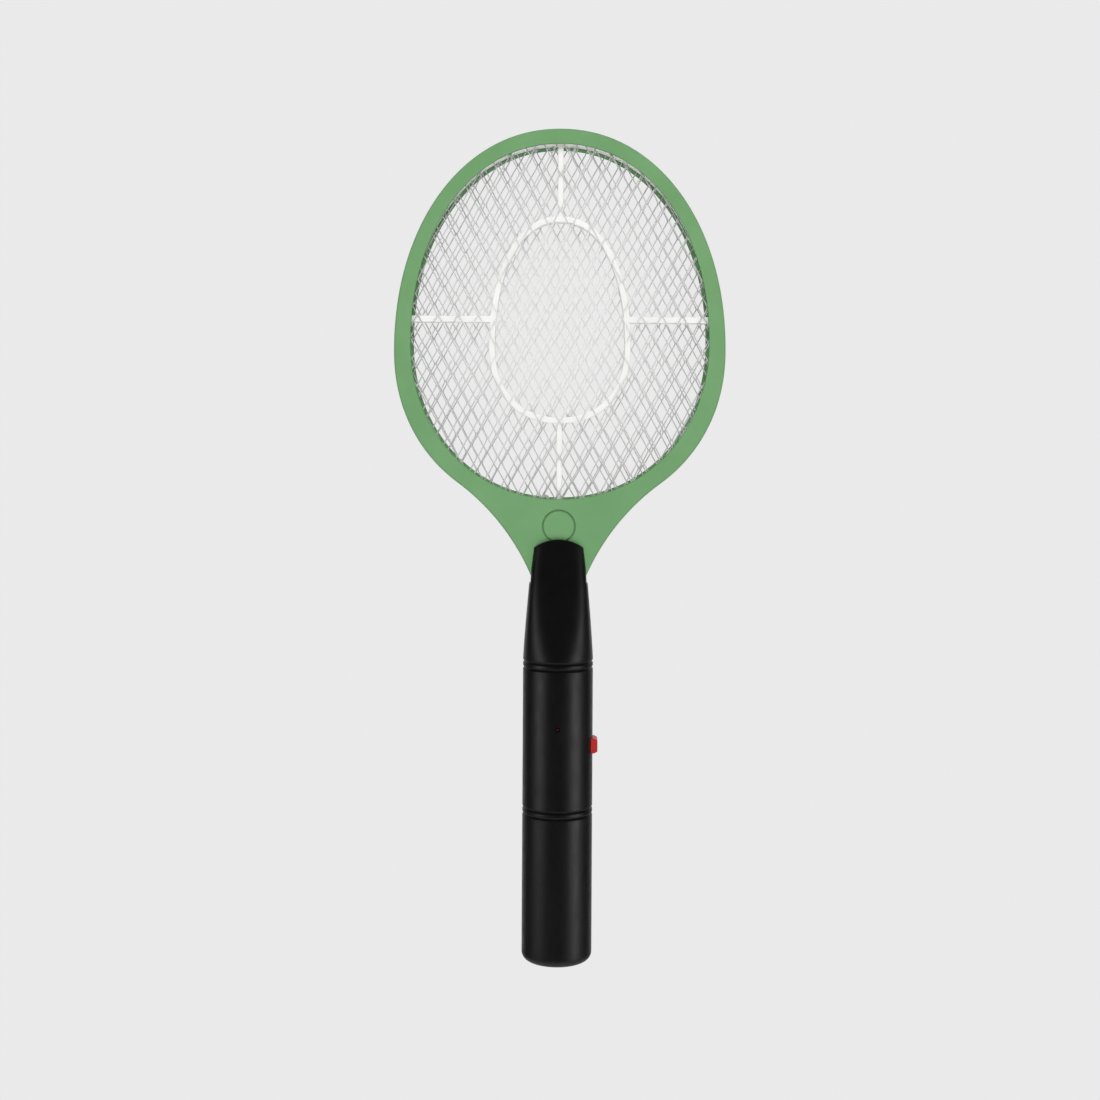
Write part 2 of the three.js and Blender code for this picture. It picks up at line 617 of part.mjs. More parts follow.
// An AA cell standing on endZ; up is 1 with its nub upwards and -1 with its nub downwards.
function makeBattery(x, endZ, up) {
  const { radius, length, nubRadius, nubHeight } = BATTERY;
  const can = length - nubHeight;
  const profile = [
    [0, 0], [radius - 0.8, 0], [radius, 0.8], [radius, can - 0.8],
    [radius - 0.8, can], [nubRadius, can], [nubRadius, length], [0, length],
  ].map(([r, height]) => new THREE.Vector2(r, height));
  const geometry = new THREE.LatheGeometry(profile, 20).rotateX(up * Math.PI / 2);
  return toSolid(geometry.translate(x, 0, endZ));
}

// A coil that narrows towards the cell, from lowZ upwards; up is 1 when it narrows upwards.
class ConeCoil extends THREE.Curve {
  constructor(x, lowZ, up) {
    super();
    this.x = x;
    this.lowZ = lowZ;
    this.up = up;
  }

  getPoint(t, target = new THREE.Vector3()) {
    const { turns, wideRadius, narrowRadius, height } = BATTERY_SPRING;
    const narrowing = this.up > 0 ? t : 1 - t;
    const radius = wideRadius + (narrowRadius - wideRadius) * narrowing;
    const angle = 2 * Math.PI * turns * t;
    return target.set(this.x + radius * Math.cos(angle), radius * Math.sin(angle), this.lowZ + height * t);
  }
}

function makeBatterySpring(x, lowZ, up) {
  const coil = new ConeCoil(x, lowZ + BATTERY_SPRING.wire, up);
  return toSolid(extrudeAlong(coil, BATTERY_SPRING.wire, 10 * BATTERY_SPRING.turns, 5));
}

function contactPlate(lowX, highX, z) {
  const { thickness, halfDepth } = CONTACT;
  return block([lowX, -halfDepth, z], [highX, halfDepth, z + thickness]);
}

// ---------- board ----------

const BOARD_FACE_Y = BOARD.frontY - 0.1; // parts end just in front of the board

function leg(x, z, fromY) {
  return block([x - 0.3, fromY, z - 0.3], [x + 0.3, BOARD_FACE_Y, z + 0.3]);
}

// A part with a wire out of each end, lying across the board.
function axialPart(x, z, radius, length) {
  const y = BOARD_FACE_Y - radius - 0.2;
  const halfSpan = length / 2 + 2;
  const body = rodX(y, z, radius, x - length / 2, x + length / 2, 10);
  const wire = block([x - halfSpan, y - 0.3, z - 0.3], [x + halfSpan, y + 0.3, z + 0.3]);
  return joined(body, wire, leg(x - halfSpan + 0.3, z, y), leg(x + halfSpan - 0.3, z, y));
}

function discPart(x, z) {
  return joined(rodZ(x, -2.6, 3, z - 1.1, z + 1.1), leg(x - 1.5, z, -1), leg(x + 1.5, z, -1));
}

function makeTransistor(x, z) {
  const shape = new THREE.Shape();
  shape.absarc(x, z, 2.3, -Math.PI * 0.8, -Math.PI * 0.2, true);
  const body = plate(shape, -6.5, -2, 5);
  return joined(body, ...[-1.27, 0, 1.27].map((step) => leg(x + step, z, -3)));
}

function makeMainCapacitor() {
  const body = block([2, -8, 128.5], [10.2, 0.6, 142]);
  return joined(body, leg(6, 130.5, 0), leg(6, 140, 0));
}

const TRANSFORMER = { z: 103, halfWidth: 6.5, halfHeight: 6, frontY: -6, limb: 2 };

function makeTransformerCore() {
  const { z, halfWidth, halfHeight, frontY, limb } = TRANSFORMER;
  const windows = [-1, 1].map((hand) => {
    const xs = [hand * limb, hand * (halfWidth - limb)].sort((a, b) => a - b);
    return block([xs[0], frontY - 1, z - halfHeight + limb], [xs[1], BOARD_FACE_Y, z + halfHeight - limb]);
  });
  return cut(block([-halfWidth, frontY, z - halfHeight], [halfWidth, -1, z + halfHeight]), ...windows);
}

// The winding sits on the middle limb and fills both windows.
function makeTransformerWinding() {
  const { z, halfWidth, halfHeight, frontY, limb } = TRANSFORMER;
  const gap = 0.2;
  const reachX = halfWidth - limb - gap;
  const reachZ = halfHeight - limb - gap;
  const outer = block([-reachX, frontY - 2, z - reachZ], [reachX, 1, z + reachZ]);
  return cut(outer, block([-limb - gap, frontY - gap, z - reachZ - 1], [limb + gap, -1 + gap, z + reachZ + 1]));
}

function makeCircuitBoard() {
  const { halfWidth, frontY, thickness, lowZ, highZ } = BOARD;
  const board = block([-halfWidth, frontY, lowZ], [halfWidth, frontY + thickness, highZ]);
  const holes = [lowZ + 3, highZ - 3].map((z) => rodY(-halfWidth + 2.5, z, 1, frontY - 1, frontY + 3, 10));
  return cut(board, ...holes);
}

// ---------- controls ----------

function makeSwitchBody() {
  const { lowX, highX, y, halfHeight } = SWITCH;
  const body = block([lowX, y - 2.6, BUTTON.z - halfHeight], [highX, BOARD_FACE_Y, BUTTON.z + halfHeight]);
  return cut(body, rodX(y, BUTTON.z, 1.35, lowX + 0.6, highX + 1));
}

function makeSwitchPlunger() {
  return rodX(SWITCH.y, BUTTON.z, 1.1, SWITCH.lowX + 2.4, SWITCH.highX + 1.8);
}

// The cap narrows towards its outer face; its flange stays behind the shells.
function makeButton() {
  const { z, halfHeight, halfDepth, reach, chamfer } = BUTTON;
  const flangeEnd = BUTTON_FLANGE.x + BUTTON_FLANGE.thickness;
  const faceX = HANDLE_RADIUS + reach;
  const shape = new THREE.Shape([
    new THREE.Vector2(BUTTON_FLANGE.x, z - halfHeight),
    new THREE.Vector2(faceX - chamfer * 2, z - halfHeight),
    new THREE.Vector2(faceX, z - halfHeight + chamfer),
    new THREE.Vector2(faceX, z + halfHeight - chamfer),
    new THREE.Vector2(faceX - chamfer * 2, z + halfHeight),
    new THREE.Vector2(BUTTON_FLANGE.x, z + halfHeight),
  ]);
  const cap = plate(shape, -halfDepth, halfDepth);
  const flange = block(
    [BUTTON_FLANGE.x, -BUTTON_FLANGE.halfDepth, z - BUTTON_FLANGE.halfHeight],
    [flangeEnd, BUTTON_FLANGE.halfDepth, z + BUTTON_FLANGE.halfHeight],
  );
  const stem = rodX(SWITCH.y, z, 2, SWITCH.highX + 2, BUTTON_FLANGE.x + 0.5);
  return joined(cap, flange, stem);
}

function makeLamp() {
  const { z, radius, tipY } = LAMP;
  const profile = [[0, tipY]];
  for (const angle of [30, 60, 90]) {
    const turn = THREE.MathUtils.degToRad(angle);
    profile.push([radius * Math.sin(turn), tipY + radius * (1 - Math.cos(turn))]);
  }
  profile.push([radius, tipY + 4.2], [radius + 0.4, tipY + 4.2], [radius + 0.4, tipY + 5.2], [0, tipY + 5.2]);
  const points = profile.map(([r, y]) => new THREE.Vector2(r, y));
  const lens = toSolid(new THREE.LatheGeometry(points, SMALL_SEGMENTS).translate(0, 0, z));
  return joined(lens, leg(-1, z, tipY + 5), leg(1, z, tipY + 5));
}

// ---------- leads ----------

function makeHighVoltageLead() {
  const { x } = LEAD_CHANNEL;
  return tube([
    [8, 1, 143.5], [8.2, 0.4, 152], [8.4, 0, 165], [x + 0.4, 0, 178], [x, 0, 190], [x, 0, 206],
    [x + 0.5, 0, 220], [8, 0.3, 230.4],
  ], 0.8, 16);
}

function makeGroundLead() {
  const { x } = LEAD_CHANNEL;
  return tube([
    [-8, 1, 143.5], [-8.2, 0.4, 152], [-8.4, 0, 165], [-x - 0.4, 0, 178], [-x, 0, 190], [-x, 0, 206],
    [-x - 0.5, -1.2, 220], [-8, -3.5, 230.4],
  ], 0.8, 16);
}

function makeGroundJumper() {
  const nearX = -TERMINAL.x - 1.9;
  return tube([
    [nearX, -3.6, 232.5], [nearX - 1.1, -2, 231], [nearX - 1.5, 0, 230.4],
    [nearX - 1.1, 2, 231], [nearX, 3.6, 232.5],
  ], 0.6, 8);
}

function makeBatteryLead(hand) {
  const x = hand * LEAD_CHANNEL.x;
  const startZ = CONTACT.upperZ + CONTACT.thickness + 0.9;
  return tube([[x, 3, startZ], [x, 3, 72], [x * 1.15, 1.6, 80], [x * 1.15, 1.1, 91.5]], 0.7, 8);
}

// ---------- assembly ----------

const swatter = new THREE.Group();
swatter.name = 'electric_fly_swatter';

function place(name, solid, look) {
  const mesh = new THREE.Mesh(toGeometry(solid), look);
  mesh.name = name;
  swatter.add(mesh);
}

place('front_frame', makeFrontFrame(), greenPlastic);
place('rear_frame', makeRearFrame(), greenPlastic);
place('front_mesh', diamondNet(-OUTER_NET_Y - NET_THICKNESS / 2, 0, 0), netWire);
place('centre_mesh', diamondNet(0, 4, 3), netWire);
place('rear_mesh', diamondNet(OUTER_NET_Y + NET_THICKNESS / 2, 2.6, -4), netWire);
place('front_spacer', makeSpacer(-1), whitePlastic);
place('rear_spacer', makeSpacer(1), whitePlastic);

const OUTER_TERMINAL_Y = SPACER.outerY - 0.35;
place('front_terminal', makeTerminal(-TERMINAL.x, -OUTER_TERMINAL_Y, TERMINAL.z), plated);
place('centre_terminal', makeTerminal(TERMINAL.x, 0.7, TERMINAL.z - 6), plated);
place('rear_terminal', makeTerminal(-TERMINAL.x, OUTER_TERMINAL_Y, TERMINAL.z), plated);

place('front_shell', makeFrontShell(), blackPlastic);
place('rear_shell', makeRearShell(), blackPlastic);
place('battery_cover', makeBatteryCover(), blackPlastic);
place('battery_cover_screw', makeScrew(COVER_SCREW.z, COVER_SCREW.seatY, COVER_SCREW.tipY), screwSteel);
for (const { name, z, seatY, tipY } of SHELL_SCREWS) {
  place(name, makeScrew(z, seatY, tipY), screwSteel);
}

place('power_button', makeButton(), redPlastic);
place('switch_plunger', makeSwitchPlunger(), darkPlastic);
place('switch_body', makeSwitchBody(), plated);
place('indicator_lamp', makeLamp(), lampRed);
place('circuit_board', makeCircuitBoard(), boardGreen);
place('transformer_core', makeTransformerCore(), ferrite);
place('transformer_winding', makeTransformerWinding(), copper);
place('main_capacitor', makeMainCapacitor(), capacitorRed);
place('transistor', makeTransistor(-5, 93.8), darkPlastic);
[113.5, 119].forEach((z, index) => {
  place(`ceramic_capacitor_${index + 1}`, discPart(-6.5, z), ceramicBlue);
});
[129.5, 133.5, 137.5].forEach((z, index) => {
  place(`diode_${index + 1}`, axialPart(-5, z, 1.3, 5), darkPlastic);
});
[[5, 94], [-6.3, 124.5]].forEach(([x, z], index) => {
  place(`resistor_${index + 1}`, axialPart(x, z, 1.1, 4.5), resistorTan);
});

const SPRING_SPACE = CONTACT.thickness + BATTERY_SPRING.height + 2 * BATTERY_SPRING.wire + 0.2;
const LOWER_CELL_Z = CONTACT.lowerZ + SPRING_SPACE;
const UPPER_CELL_TOP = CONTACT.upperZ - BATTERY_SPRING.height - 2 * BATTERY_SPRING.wire - 0.2;
place('battery_1', makeBattery(-BATTERY.x, LOWER_CELL_Z, 1), cellJacket);
place('battery_2', makeBattery(BATTERY.x, UPPER_CELL_TOP, -1), cellJacket);
place('lower_contact_plate', contactPlate(-12.5, 12.5, CONTACT.lowerZ), plated);
place('upper_contact_positive', contactPlate(-12.5, -1.8, CONTACT.upperZ), plated);
place('upper_contact_negative', contactPlate(1.8, 12.5, CONTACT.upperZ), plated);
place('battery_spring_1', makeBatterySpring(-BATTERY.x, CONTACT.lowerZ + CONTACT.thickness + 0.1, 1), plated);
place('battery_spring_2', makeBatterySpring(BATTERY.x, UPPER_CELL_TOP + 0.1, -1), plated);

place('high_voltage_lead', makeHighVoltageLead(), redInsulation);
place('ground_lead', makeGroundLead(), blackInsulation);
place('ground_jumper', makeGroundJumper(), blackInsulation);
place('battery_lead_positive', makeBatteryLead(-1), redInsulation);
place('battery_lead_negative', makeBatteryLead(1), blackInsulation);

swatter.position.z = -GRIP_CENTRE_Z;

export default swatter;
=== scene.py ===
import math

import bmesh
import bpy
from mathutils import Matrix, Vector


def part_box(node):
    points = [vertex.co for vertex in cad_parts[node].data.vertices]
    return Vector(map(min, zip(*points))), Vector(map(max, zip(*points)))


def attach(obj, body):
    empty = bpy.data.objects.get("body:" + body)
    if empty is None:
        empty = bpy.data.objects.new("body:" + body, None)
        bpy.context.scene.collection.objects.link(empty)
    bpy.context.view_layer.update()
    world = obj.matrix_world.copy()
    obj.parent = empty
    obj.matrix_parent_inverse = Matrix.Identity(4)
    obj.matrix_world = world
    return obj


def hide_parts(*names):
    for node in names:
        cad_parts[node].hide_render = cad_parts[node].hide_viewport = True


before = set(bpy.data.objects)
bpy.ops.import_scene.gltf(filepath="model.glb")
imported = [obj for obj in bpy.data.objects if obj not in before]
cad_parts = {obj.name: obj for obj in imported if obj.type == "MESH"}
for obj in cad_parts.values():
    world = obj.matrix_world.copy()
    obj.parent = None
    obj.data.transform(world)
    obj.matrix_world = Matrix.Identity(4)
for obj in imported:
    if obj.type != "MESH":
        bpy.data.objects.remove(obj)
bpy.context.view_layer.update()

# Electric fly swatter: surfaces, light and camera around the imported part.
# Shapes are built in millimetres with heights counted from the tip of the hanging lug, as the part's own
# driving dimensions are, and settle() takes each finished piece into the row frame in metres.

MM = 0.001
LUG_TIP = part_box("front_shell")[0].z  # row height of the lug's tip, in metres
TAU = 2 * math.pi

# ---------- driving dimensions, shared with the part ----------

# ovals of the head: height of the widest line, half width, reach above it and below it, and fullness
HEAD = (322.9, 86.5, 115.8, 85.5, 2.09)
FRONT_OPENING = (327.3, 77.8, 103.4, 81.9, 2.08)
REAR_OPENING = (327.3, 77.1, 101.7, 81.5, 2.08)
RIM_OPENING = (327.3, 79.1, 103.2, 82.3, 2.08)
SPACER_OVAL = (324.8, 37.1, 68.5, 40.0, 2.2)
HEAD_Z, HEAD_HALF, HEAD_TOP, HEAD_BOTTOM, HEAD_POWER = HEAD
FRAME_DEPTH, FRAME_SKIN, FRAME_WALL, PARTING = 6.5, 1.8, 2.0, 0.15
FLANK_START = math.radians(53.1)
NECK_HALF, NECK_Z, NECK_END = 14.9, 206.4, 203.5
TANG_HALF, TANG_LOW, TANG_DEPTH = 12.0, 186.0, 6.3
CHANNEL_X, CHANNEL_HALF, CHANNEL_DEPTH = 7.0, 2.0, 2.4
MARK_Z, MARK_RADIUS, MARK_GROOVE, MARK_DEPTH = 231.2, 8.8, 0.9, 0.6
MARK_MIDDLE = MARK_RADIUS - MARK_GROOVE / 2
NET_THICKNESS, OUTER_NET_Y, NET_EDGE = 0.6, 4.0, 2.6
PITCH_X, PITCH_Z, WIRE = 10.65, 18.5, 0.65
SPACER_NEAR, SPACER_FAR, RIM_OUT, OVAL_BAND = 0.45, 3.9, 2.4, 3.2
BAR_Z, BAR_HEIGHT, BAR_WIDTH = 339.2, 3.4, 2.9
EYELET_X, EYELET_Z, EYELET_RADIUS, EYELET_HOLE = 7.4, 244.9, 2.5, 1.25
TAIL_WIDTH, TAIL_Z, TERMINAL_GAP = 2.0, 231.0, 3.4
RADIUS, WALL = 18.35, 2.55
BUTT_Z, BUTT_CORNER = 4.0, 4.5
GROOVES, GROOVE_SPACING, GROOVE_HALF, GROOVE_DEPTH = (82.6, 159.0), 1.6, 0.75, 0.65
TAPER_Z, TAPER_DROP, TAPER_POWER = 161.5, 3.0, 1.2
FACET_Z, FACET_SLOPE = 163.0, 0.145
SHOULDER_Z, SQUARENESS = 201.0, 4.0
TONGUE_HALF, TONGUE_NARROWING, TONGUE_GAP = 14.8, 1.2, 0.1
TONGUE_CORNER_X, TONGUE_CORNER_Z, TONGUE_TIP = 12.75, 220.3, 224.5
LUG_RADIUS, LUG_HALF, LUG_THICK, LUG_HOLE, LUG_HOLE_Z = 18.0, 12.0, 2.75, 1.5, 2.6
SHANK, SCREW_HEAD, SCREW_HEIGHT, SCREW_HOLE, COUNTERBORE = 1.2, 2.7, 1.8, 1.6, 3.1
SHELL_SCREWS = (("shell_screw_1", 208.0, 8.6, -9.4), ("shell_screw_2", 170.0, 8.6, -7.0),
                ("shell_screw_3", 86.0, 8.6, -7.0))
COVER_SCREW_Z, COVER_SEAT, COVER_TIP = 71.5, 15.4, 3.0
CELL_RADIUS, CELL_LENGTH, CELL_NUB, CELL_NUB_HEIGHT, CELL_X = 7.1, 50.5, 2.75, 1.2, 7.3
PLATE_LOW, PLATE_HIGH, PLATE_THICK, PLATE_HALF = 8.0, 64.2, 0.4, 5.0
SPRING_WIRE, SPRING_WIDE, SPRING_NARROW, SPRING_HEIGHT = 0.35, 4.6, 3.0, 4.3
DIVIDER_Z, DIVIDER_THICK, DIVIDER_BACK = 64.9, 2.0, 5.0
COVER_HALF, COVER_LOW, COVER_HIGH, COVER_GAP = 14.7, 13.0, 75.5, 0.25
BOARD_Y, BOARD_THICK, BOARD_LOW, BOARD_HIGH = 2.0, 1.6, 91.0, 146.0
BUTTON_Z, BUTTON_HALF, BUTTON_DEPTH, BUTTON_REACH, BUTTON_CHAMFER = 116.6, 3.9, 5.6, 2.45, 0.9
FLANGE_X, FLANGE_THICK, FLANGE_HALF, FLANGE_DEPTH = 13.2, 1.0, 5.6, 6.6
SWITCH_LOW, SWITCH_HIGH, SWITCH_Y = 3.0, 8.6, -0.8
LAMP_Z, LAMP_RADIUS, LAMP_TIP = 127.3, 0.95, -18.15

# ---------- finishes ----------


PLASTIC_IOR = 1.46
BLOTCH = 0.03  # metres across, for a change of tone
NOISE_LOW, NOISE_HIGH = 0.3, 0.7  # most of a noise lies between these


def linear(r, g, b):
    """A colour of 0 to 255 per channel as the linear values that shaders use."""
    channels = [c / 255 / 12.92 if c <= 10 else ((c / 255 + 0.055) / 1.055) ** 2.4 for c in (r, g, b)]
    return (*channels, 1.0)


class Look:
    """A procedural material: noise in the object's own metres varies colour, roughness and relief."""

    def __init__(self, name):
        self.material = bpy.data.materials.new(name)
        self.material.use_nodes = True
        self.tree = self.material.node_tree
        self.tree.nodes.clear()
        self.shader = self.node("ShaderNodeBsdfPrincipled")
        self.output = self.node("ShaderNodeOutputMaterial")
        self.link(self.shader.outputs["BSDF"], self.output.inputs["Surface"])
        self.place = self.node("ShaderNodeTexCoord").outputs["Object"]

    def node(self, kind, **settings):
        made = self.tree.nodes.new(kind)
        for key, value in settings.items():
            setattr(made, key, value)
        return made

    def link(self, source, target):
        self.tree.links.new(source, target)

    def set(self, **values):
        for key, value in values.items():
            self.shader.inputs[key.replace("_", " ")].default_value = value
        return self

    def noise(self, size, detail=3.0):
        """Noise whose blotches are about size metres across."""
        made = self.node("ShaderNodeTexNoise")
        for key, value in (("Scale", 1 / size), ("Detail", detail), ("Roughness", 0.55)):
            made.inputs[key].default_value = value
        self.link(self.place, made.inputs["Vector"])
        return made.outputs["Fac"]

    def ramp(self, fac, low, high, start=NOISE_LOW, end=NOISE_HIGH):
        """A colour from low to high, as fac goes from start to end."""
        made = self.node("ShaderNodeValToRGB")
        made.color_ramp.elements[0].position = start
        made.color_ramp.elements[1].position = end
        made.color_ramp.elements[0].color = low
        made.color_ramp.elements[1].color = high
        self.link(fac, made.inputs["Fac"])
        return made.outputs["Color"]

    def span(self, fac, low, high):
        """A number from low to high, driven by a noise."""
        made = self.node("ShaderNodeMapRange")
        limits = {"From Min": NOISE_LOW, "From Max": NOISE_HIGH, "To Min": low, "To Max": high}
        for key, value in limits.items():
            made.inputs[key].default_value = value
        self.link(fac, made.inputs["Value"])
        return made.outputs["Result"]

    def math(self, operation, first, second=0.5):
        made = self.node("ShaderNodeMath", operation=operation)
        for index, value in enumerate((first, second)):
            if isinstance(value, (int, float)):
                made.inputs[index].default_value = value
            else:
                self.link(value, made.inputs[index])
        return made.outputs["Value"]

    def product(self, first, second):
        """Two colours multiplied."""
        mix = self.node("ShaderNodeMix", data_type="RGBA", blend_type="MULTIPLY")
        mix.inputs[0].default_value = 1.0
        self.link(first, mix.inputs[6])
        self.link(second, mix.inputs[7])
        return mix.outputs[2]

    def paint(self, tone):
        self.link(tone, self.shader.inputs["Base Color"])
        return self

    def colour(self, low, high, size=BLOTCH):
        return self.paint(self.ramp(self.noise(size), low, high))

    def roughness(self, low, high, size=0.006):
        self.link(self.span(self.noise(size), low, high), self.shader.inputs["Roughness"])
        return self

    def relief(self, size, depth, edge=0.0):
        """Grain of that size and depth in metres; edge rounds sharp corners by that many metres."""
        bump = self.node("ShaderNodeBump")
        bump.inputs["Distance"].default_value = depth
        self.link(self.noise(size, detail=2.0), bump.inputs["Height"])
        if edge:
            bevel = self.node("ShaderNodeBevel", samples=4)
            bevel.inputs["Radius"].default_value = edge
            self.link(bevel.outputs["Normal"], bump.inputs["Normal"])
        self.link(bump.outputs["Normal"], self.shader.inputs["Normal"])
        return self


def moulded(name, dark, light, rough, grain=0.0005, depth=0.00002, edge=0.0002):
    """Injection-moulded plastic with a fine grained surface."""
    look = Look(name).colour(dark, light).roughness(rough - 0.04, rough + 0.05).relief(grain, depth, edge)
    return look.set(IOR=PLASTIC_IOR).material


def metal(name, dark, light, rough, size=0.002, edge=0.0, metallic=1.0):
    """Bare metal with faint marks about size metres across."""
    look = Look(name).colour(dark, light, size).roughness(rough - 0.06, rough + 0.08, size)
    return look.relief(size / 3, 0.000004, edge).set(Metallic=metallic).material


def away_from(look, z, reach_x, reach_z):
    """Distance from the middle line at height z, seen from the front, in shares of the two reaches."""
    mapping = look.node("ShaderNodeMapping")
    mapping.inputs["Scale"].default_value = (1 / (reach_x * MM), 0, 1 / (reach_z * MM))
    mapping.inputs["Location"].default_value = (0, 0, -(LUG_TIP + z * MM) / (reach_z * MM))
    look.link(look.place, mapping.inputs["Vector"])
    length = look.node("ShaderNodeVectorMath", operation="LENGTH")
    look.link(mapping.outputs["Vector"], length.inputs[0])
    return length.outputs["Value"]


def net_metal(middle, rim):
    """Slit and stretched sheet, dull and pale in the middle of the head, with painted shade greying it
    towards its edge.
    """
    look = Look("net_wire")
    reach = (HEAD_TOP + HEAD_BOTTOM) / 2
    length = away_from(look, HEAD_Z + (HEAD_TOP - HEAD_BOTTOM) / 2, HEAD_HALF, reach)
    mottle_and_edge_shade = look.math("ADD", length, look.span(look.noise(0.008), -0.12, 0.12))
    # painted shade: the wires darken from the middle tone to the rim tone towards the ring, with random
    # mottle on top
    look.paint(look.ramp(mottle_and_edge_shade, middle, rim, 0.3, 0.95))
    look.roughness(0.42, 0.56, 0.0015).relief(0.0005, 0.000004)
    return look.set(Metallic=0.1).material


def moulding_with_painted_groove_shade(name, dark, light, shade):
    """Green plastic of the front half, with painted shade inside the groove of the ring pressed into its
    neck.
    """
    look = Look(name)
    off = look.math("ABSOLUTE", look.math("SUBTRACT", away_from(look, MARK_Z, MARK_MIDDLE, MARK_MIDDLE), 1.0))
    plain = look.ramp(look.noise(BLOTCH), dark, light)
    width = MARK_GROOVE / MARK_MIDDLE
    # painted shade: the plastic's colour is multiplied by the shade tone inside the groove
    groove = look.ramp(off, shade, (1, 1, 1, 1), 0.3 * width, 0.85 * width)
    look.paint(look.product(plain, groove)).roughness(0.56, 0.65).relief(0.0006, 0.000018, 0.0002)
    return look.set(IOR=PLASTIC_IOR).material


GREEN_DARK, GREEN_LIGHT = linear(112, 160, 108), linear(120, 168, 116)
green = moulded("green_moulding", GREEN_DARK, GREEN_LIGHT, 0.6, 0.0006, 0.000018, 0.0002)
# the grey tone is painted shade inside the pressed ring's groove
green_with_painted_groove_shade = moulding_with_painted_groove_shade("front_green_moulding", GREEN_DARK, GREEN_LIGHT, (0.78, 0.78, 0.78, 1))
black = moulded("black_moulding", linear(4, 5, 4), linear(9, 10, 9), 0.42, 0.0005, 0.00003, 0.0002)
white = moulded("white_moulding", linear(246, 246, 243), linear(252, 252, 250), 0.5, 0.0006, 0.00001, 0.0001)
red = moulded("red_moulding", linear(172, 38, 34), linear(190, 46, 42), 0.42, 0.0004, 0.00001, 0.0001)
dark_plastic = moulded("dark_moulding", linear(34, 34, 36), linear(48, 48, 50), 0.5)
# the second, greyer tone is painted shade near the ring
wire_metal = net_metal(linear(247, 247, 246), linear(203, 204, 203))
plated = metal("plated_strip", linear(196, 194, 188), linear(222, 220, 214), 0.3, 0.002, 0.00008, 0.15)
spring_steel = metal("spring_wire", linear(176, 178, 180), linear(206, 207, 208), 0.28, 0.001)
screw_metal = metal("screw_metal", linear(132, 133, 134), linear(168, 168, 168), 0.36, 0.0012, 0.0001)
copper = metal("copper_wire", linear(176, 98, 56), linear(204, 124, 76), 0.34, 0.0006)
lens = moulded("lamp_lens", linear(46, 7, 7), linear(60, 9, 8), 0.4, 0.0006, 0.000004)
laminate = moulded("board_laminate", linear(34, 92, 58), linear(52, 118, 76), 0.4, 0.001, 0.00001, 0.0001)
ferrite = moulded("ferrite", linear(46, 46, 48), linear(64, 64, 66), 0.75, 0.0007, 0.00004, 0.0002)
film = moulded("capacitor_coating", linear(120, 44, 26), linear(148, 62, 38), 0.34, 0.001, 0.00001, 0.0003)
ceramic = moulded("ceramic_coating", linear(38, 88, 158), linear(58, 112, 184), 0.34, 0.0008, 0.00002, 0.0003)
tan_coating = moulded("resistor_coating", linear(192, 162, 114), linear(210, 182, 134), 0.45)
red_cover = moulded("red_insulation", linear(158, 36, 32), linear(184, 52, 46), 0.45, 0.0008, 0.00001)
black_cover = moulded("black_insulation", linear(26, 26, 28), linear(40, 40, 42), 0.45, 0.0008, 0.00001)

# ---------- meshes ----------


def solid(name, points, faces):
    mesh = bpy.data.meshes.new(name)
    mesh.from_pydata(points, [], faces)
    work = bmesh.new()
    work.from_mesh(mesh)
    bmesh.ops.recalc_face_normals(work, faces=work.faces)
    work.to_mesh(mesh)
    work.free()
    obj = bpy.data.objects.new(name, mesh)
    bpy.context.scene.collection.objects.link(obj)
    return obj


def loft(name, rings, closed=False):
    """A solid through rings of points; closed joins the last ring to the first instead of capping both."""
    count = len(rings[0])
    faces = []
    for ring in range(len(rings) if closed else len(rings) - 1):
        low, high = ring * count, (ring + 1) % len(rings) * count
        faces += [(low + i, low + (i + 1) % count, high + (i + 1) % count, high + i) for i in range(count)]
    if not closed:
        faces += [tuple(reversed(range(count))), tuple((len(rings) - 1) * count + i for i in range(count))]
    return solid(name, [point for ring in rings for point in ring], faces)


def block(low, high, name="block"):
    (x0, y0, z0), (x1, y1, z1) = low, high
    return loft(name, [[(x0, y0, z), (x1, y0, z), (x1, y1, z), (x0, y1, z)] for z in (z0, z1)])


def side_block(side, xs, near, far, zs, name="block"):
    """A block from near to far away from the middle plane, in front (side -1) or behind (side 1)."""
    ys = sorted((side * near, side * far))
    return block((xs[0], ys[0], zs[0]), (xs[1], ys[1], zs[1]), name)


def turn(name, profile, place, segments=48):
    """A turned solid from (radius, distance along the axis) pairs; place makes a point of (a, b, along)."""
    angles = [TAU * i / segments for i in range(segments)]
    return loft(name, [[place(r * math.cos(a), r * math.sin(a), t) for a in angles] for r, t in profile])


def rod_y(x, z, radius, ya, yb, name="rod"):
    return turn(name, [(radius, ya), (radius, yb)], lambda a, b, t: (x + a, t, z + b))


def rod_x(y, z, radius, xa, xb):
    return turn("rod", [(radius, xa), (radius, xb)], lambda a, b, t: (t, y + a, z + b), 32)


def rod_z(radius, za, zb):
    """A rod on the handle's axis."""
    return turn("rod", [(radius, za), (radius, zb)], lambda a, b, t: (a, b, t), 64)


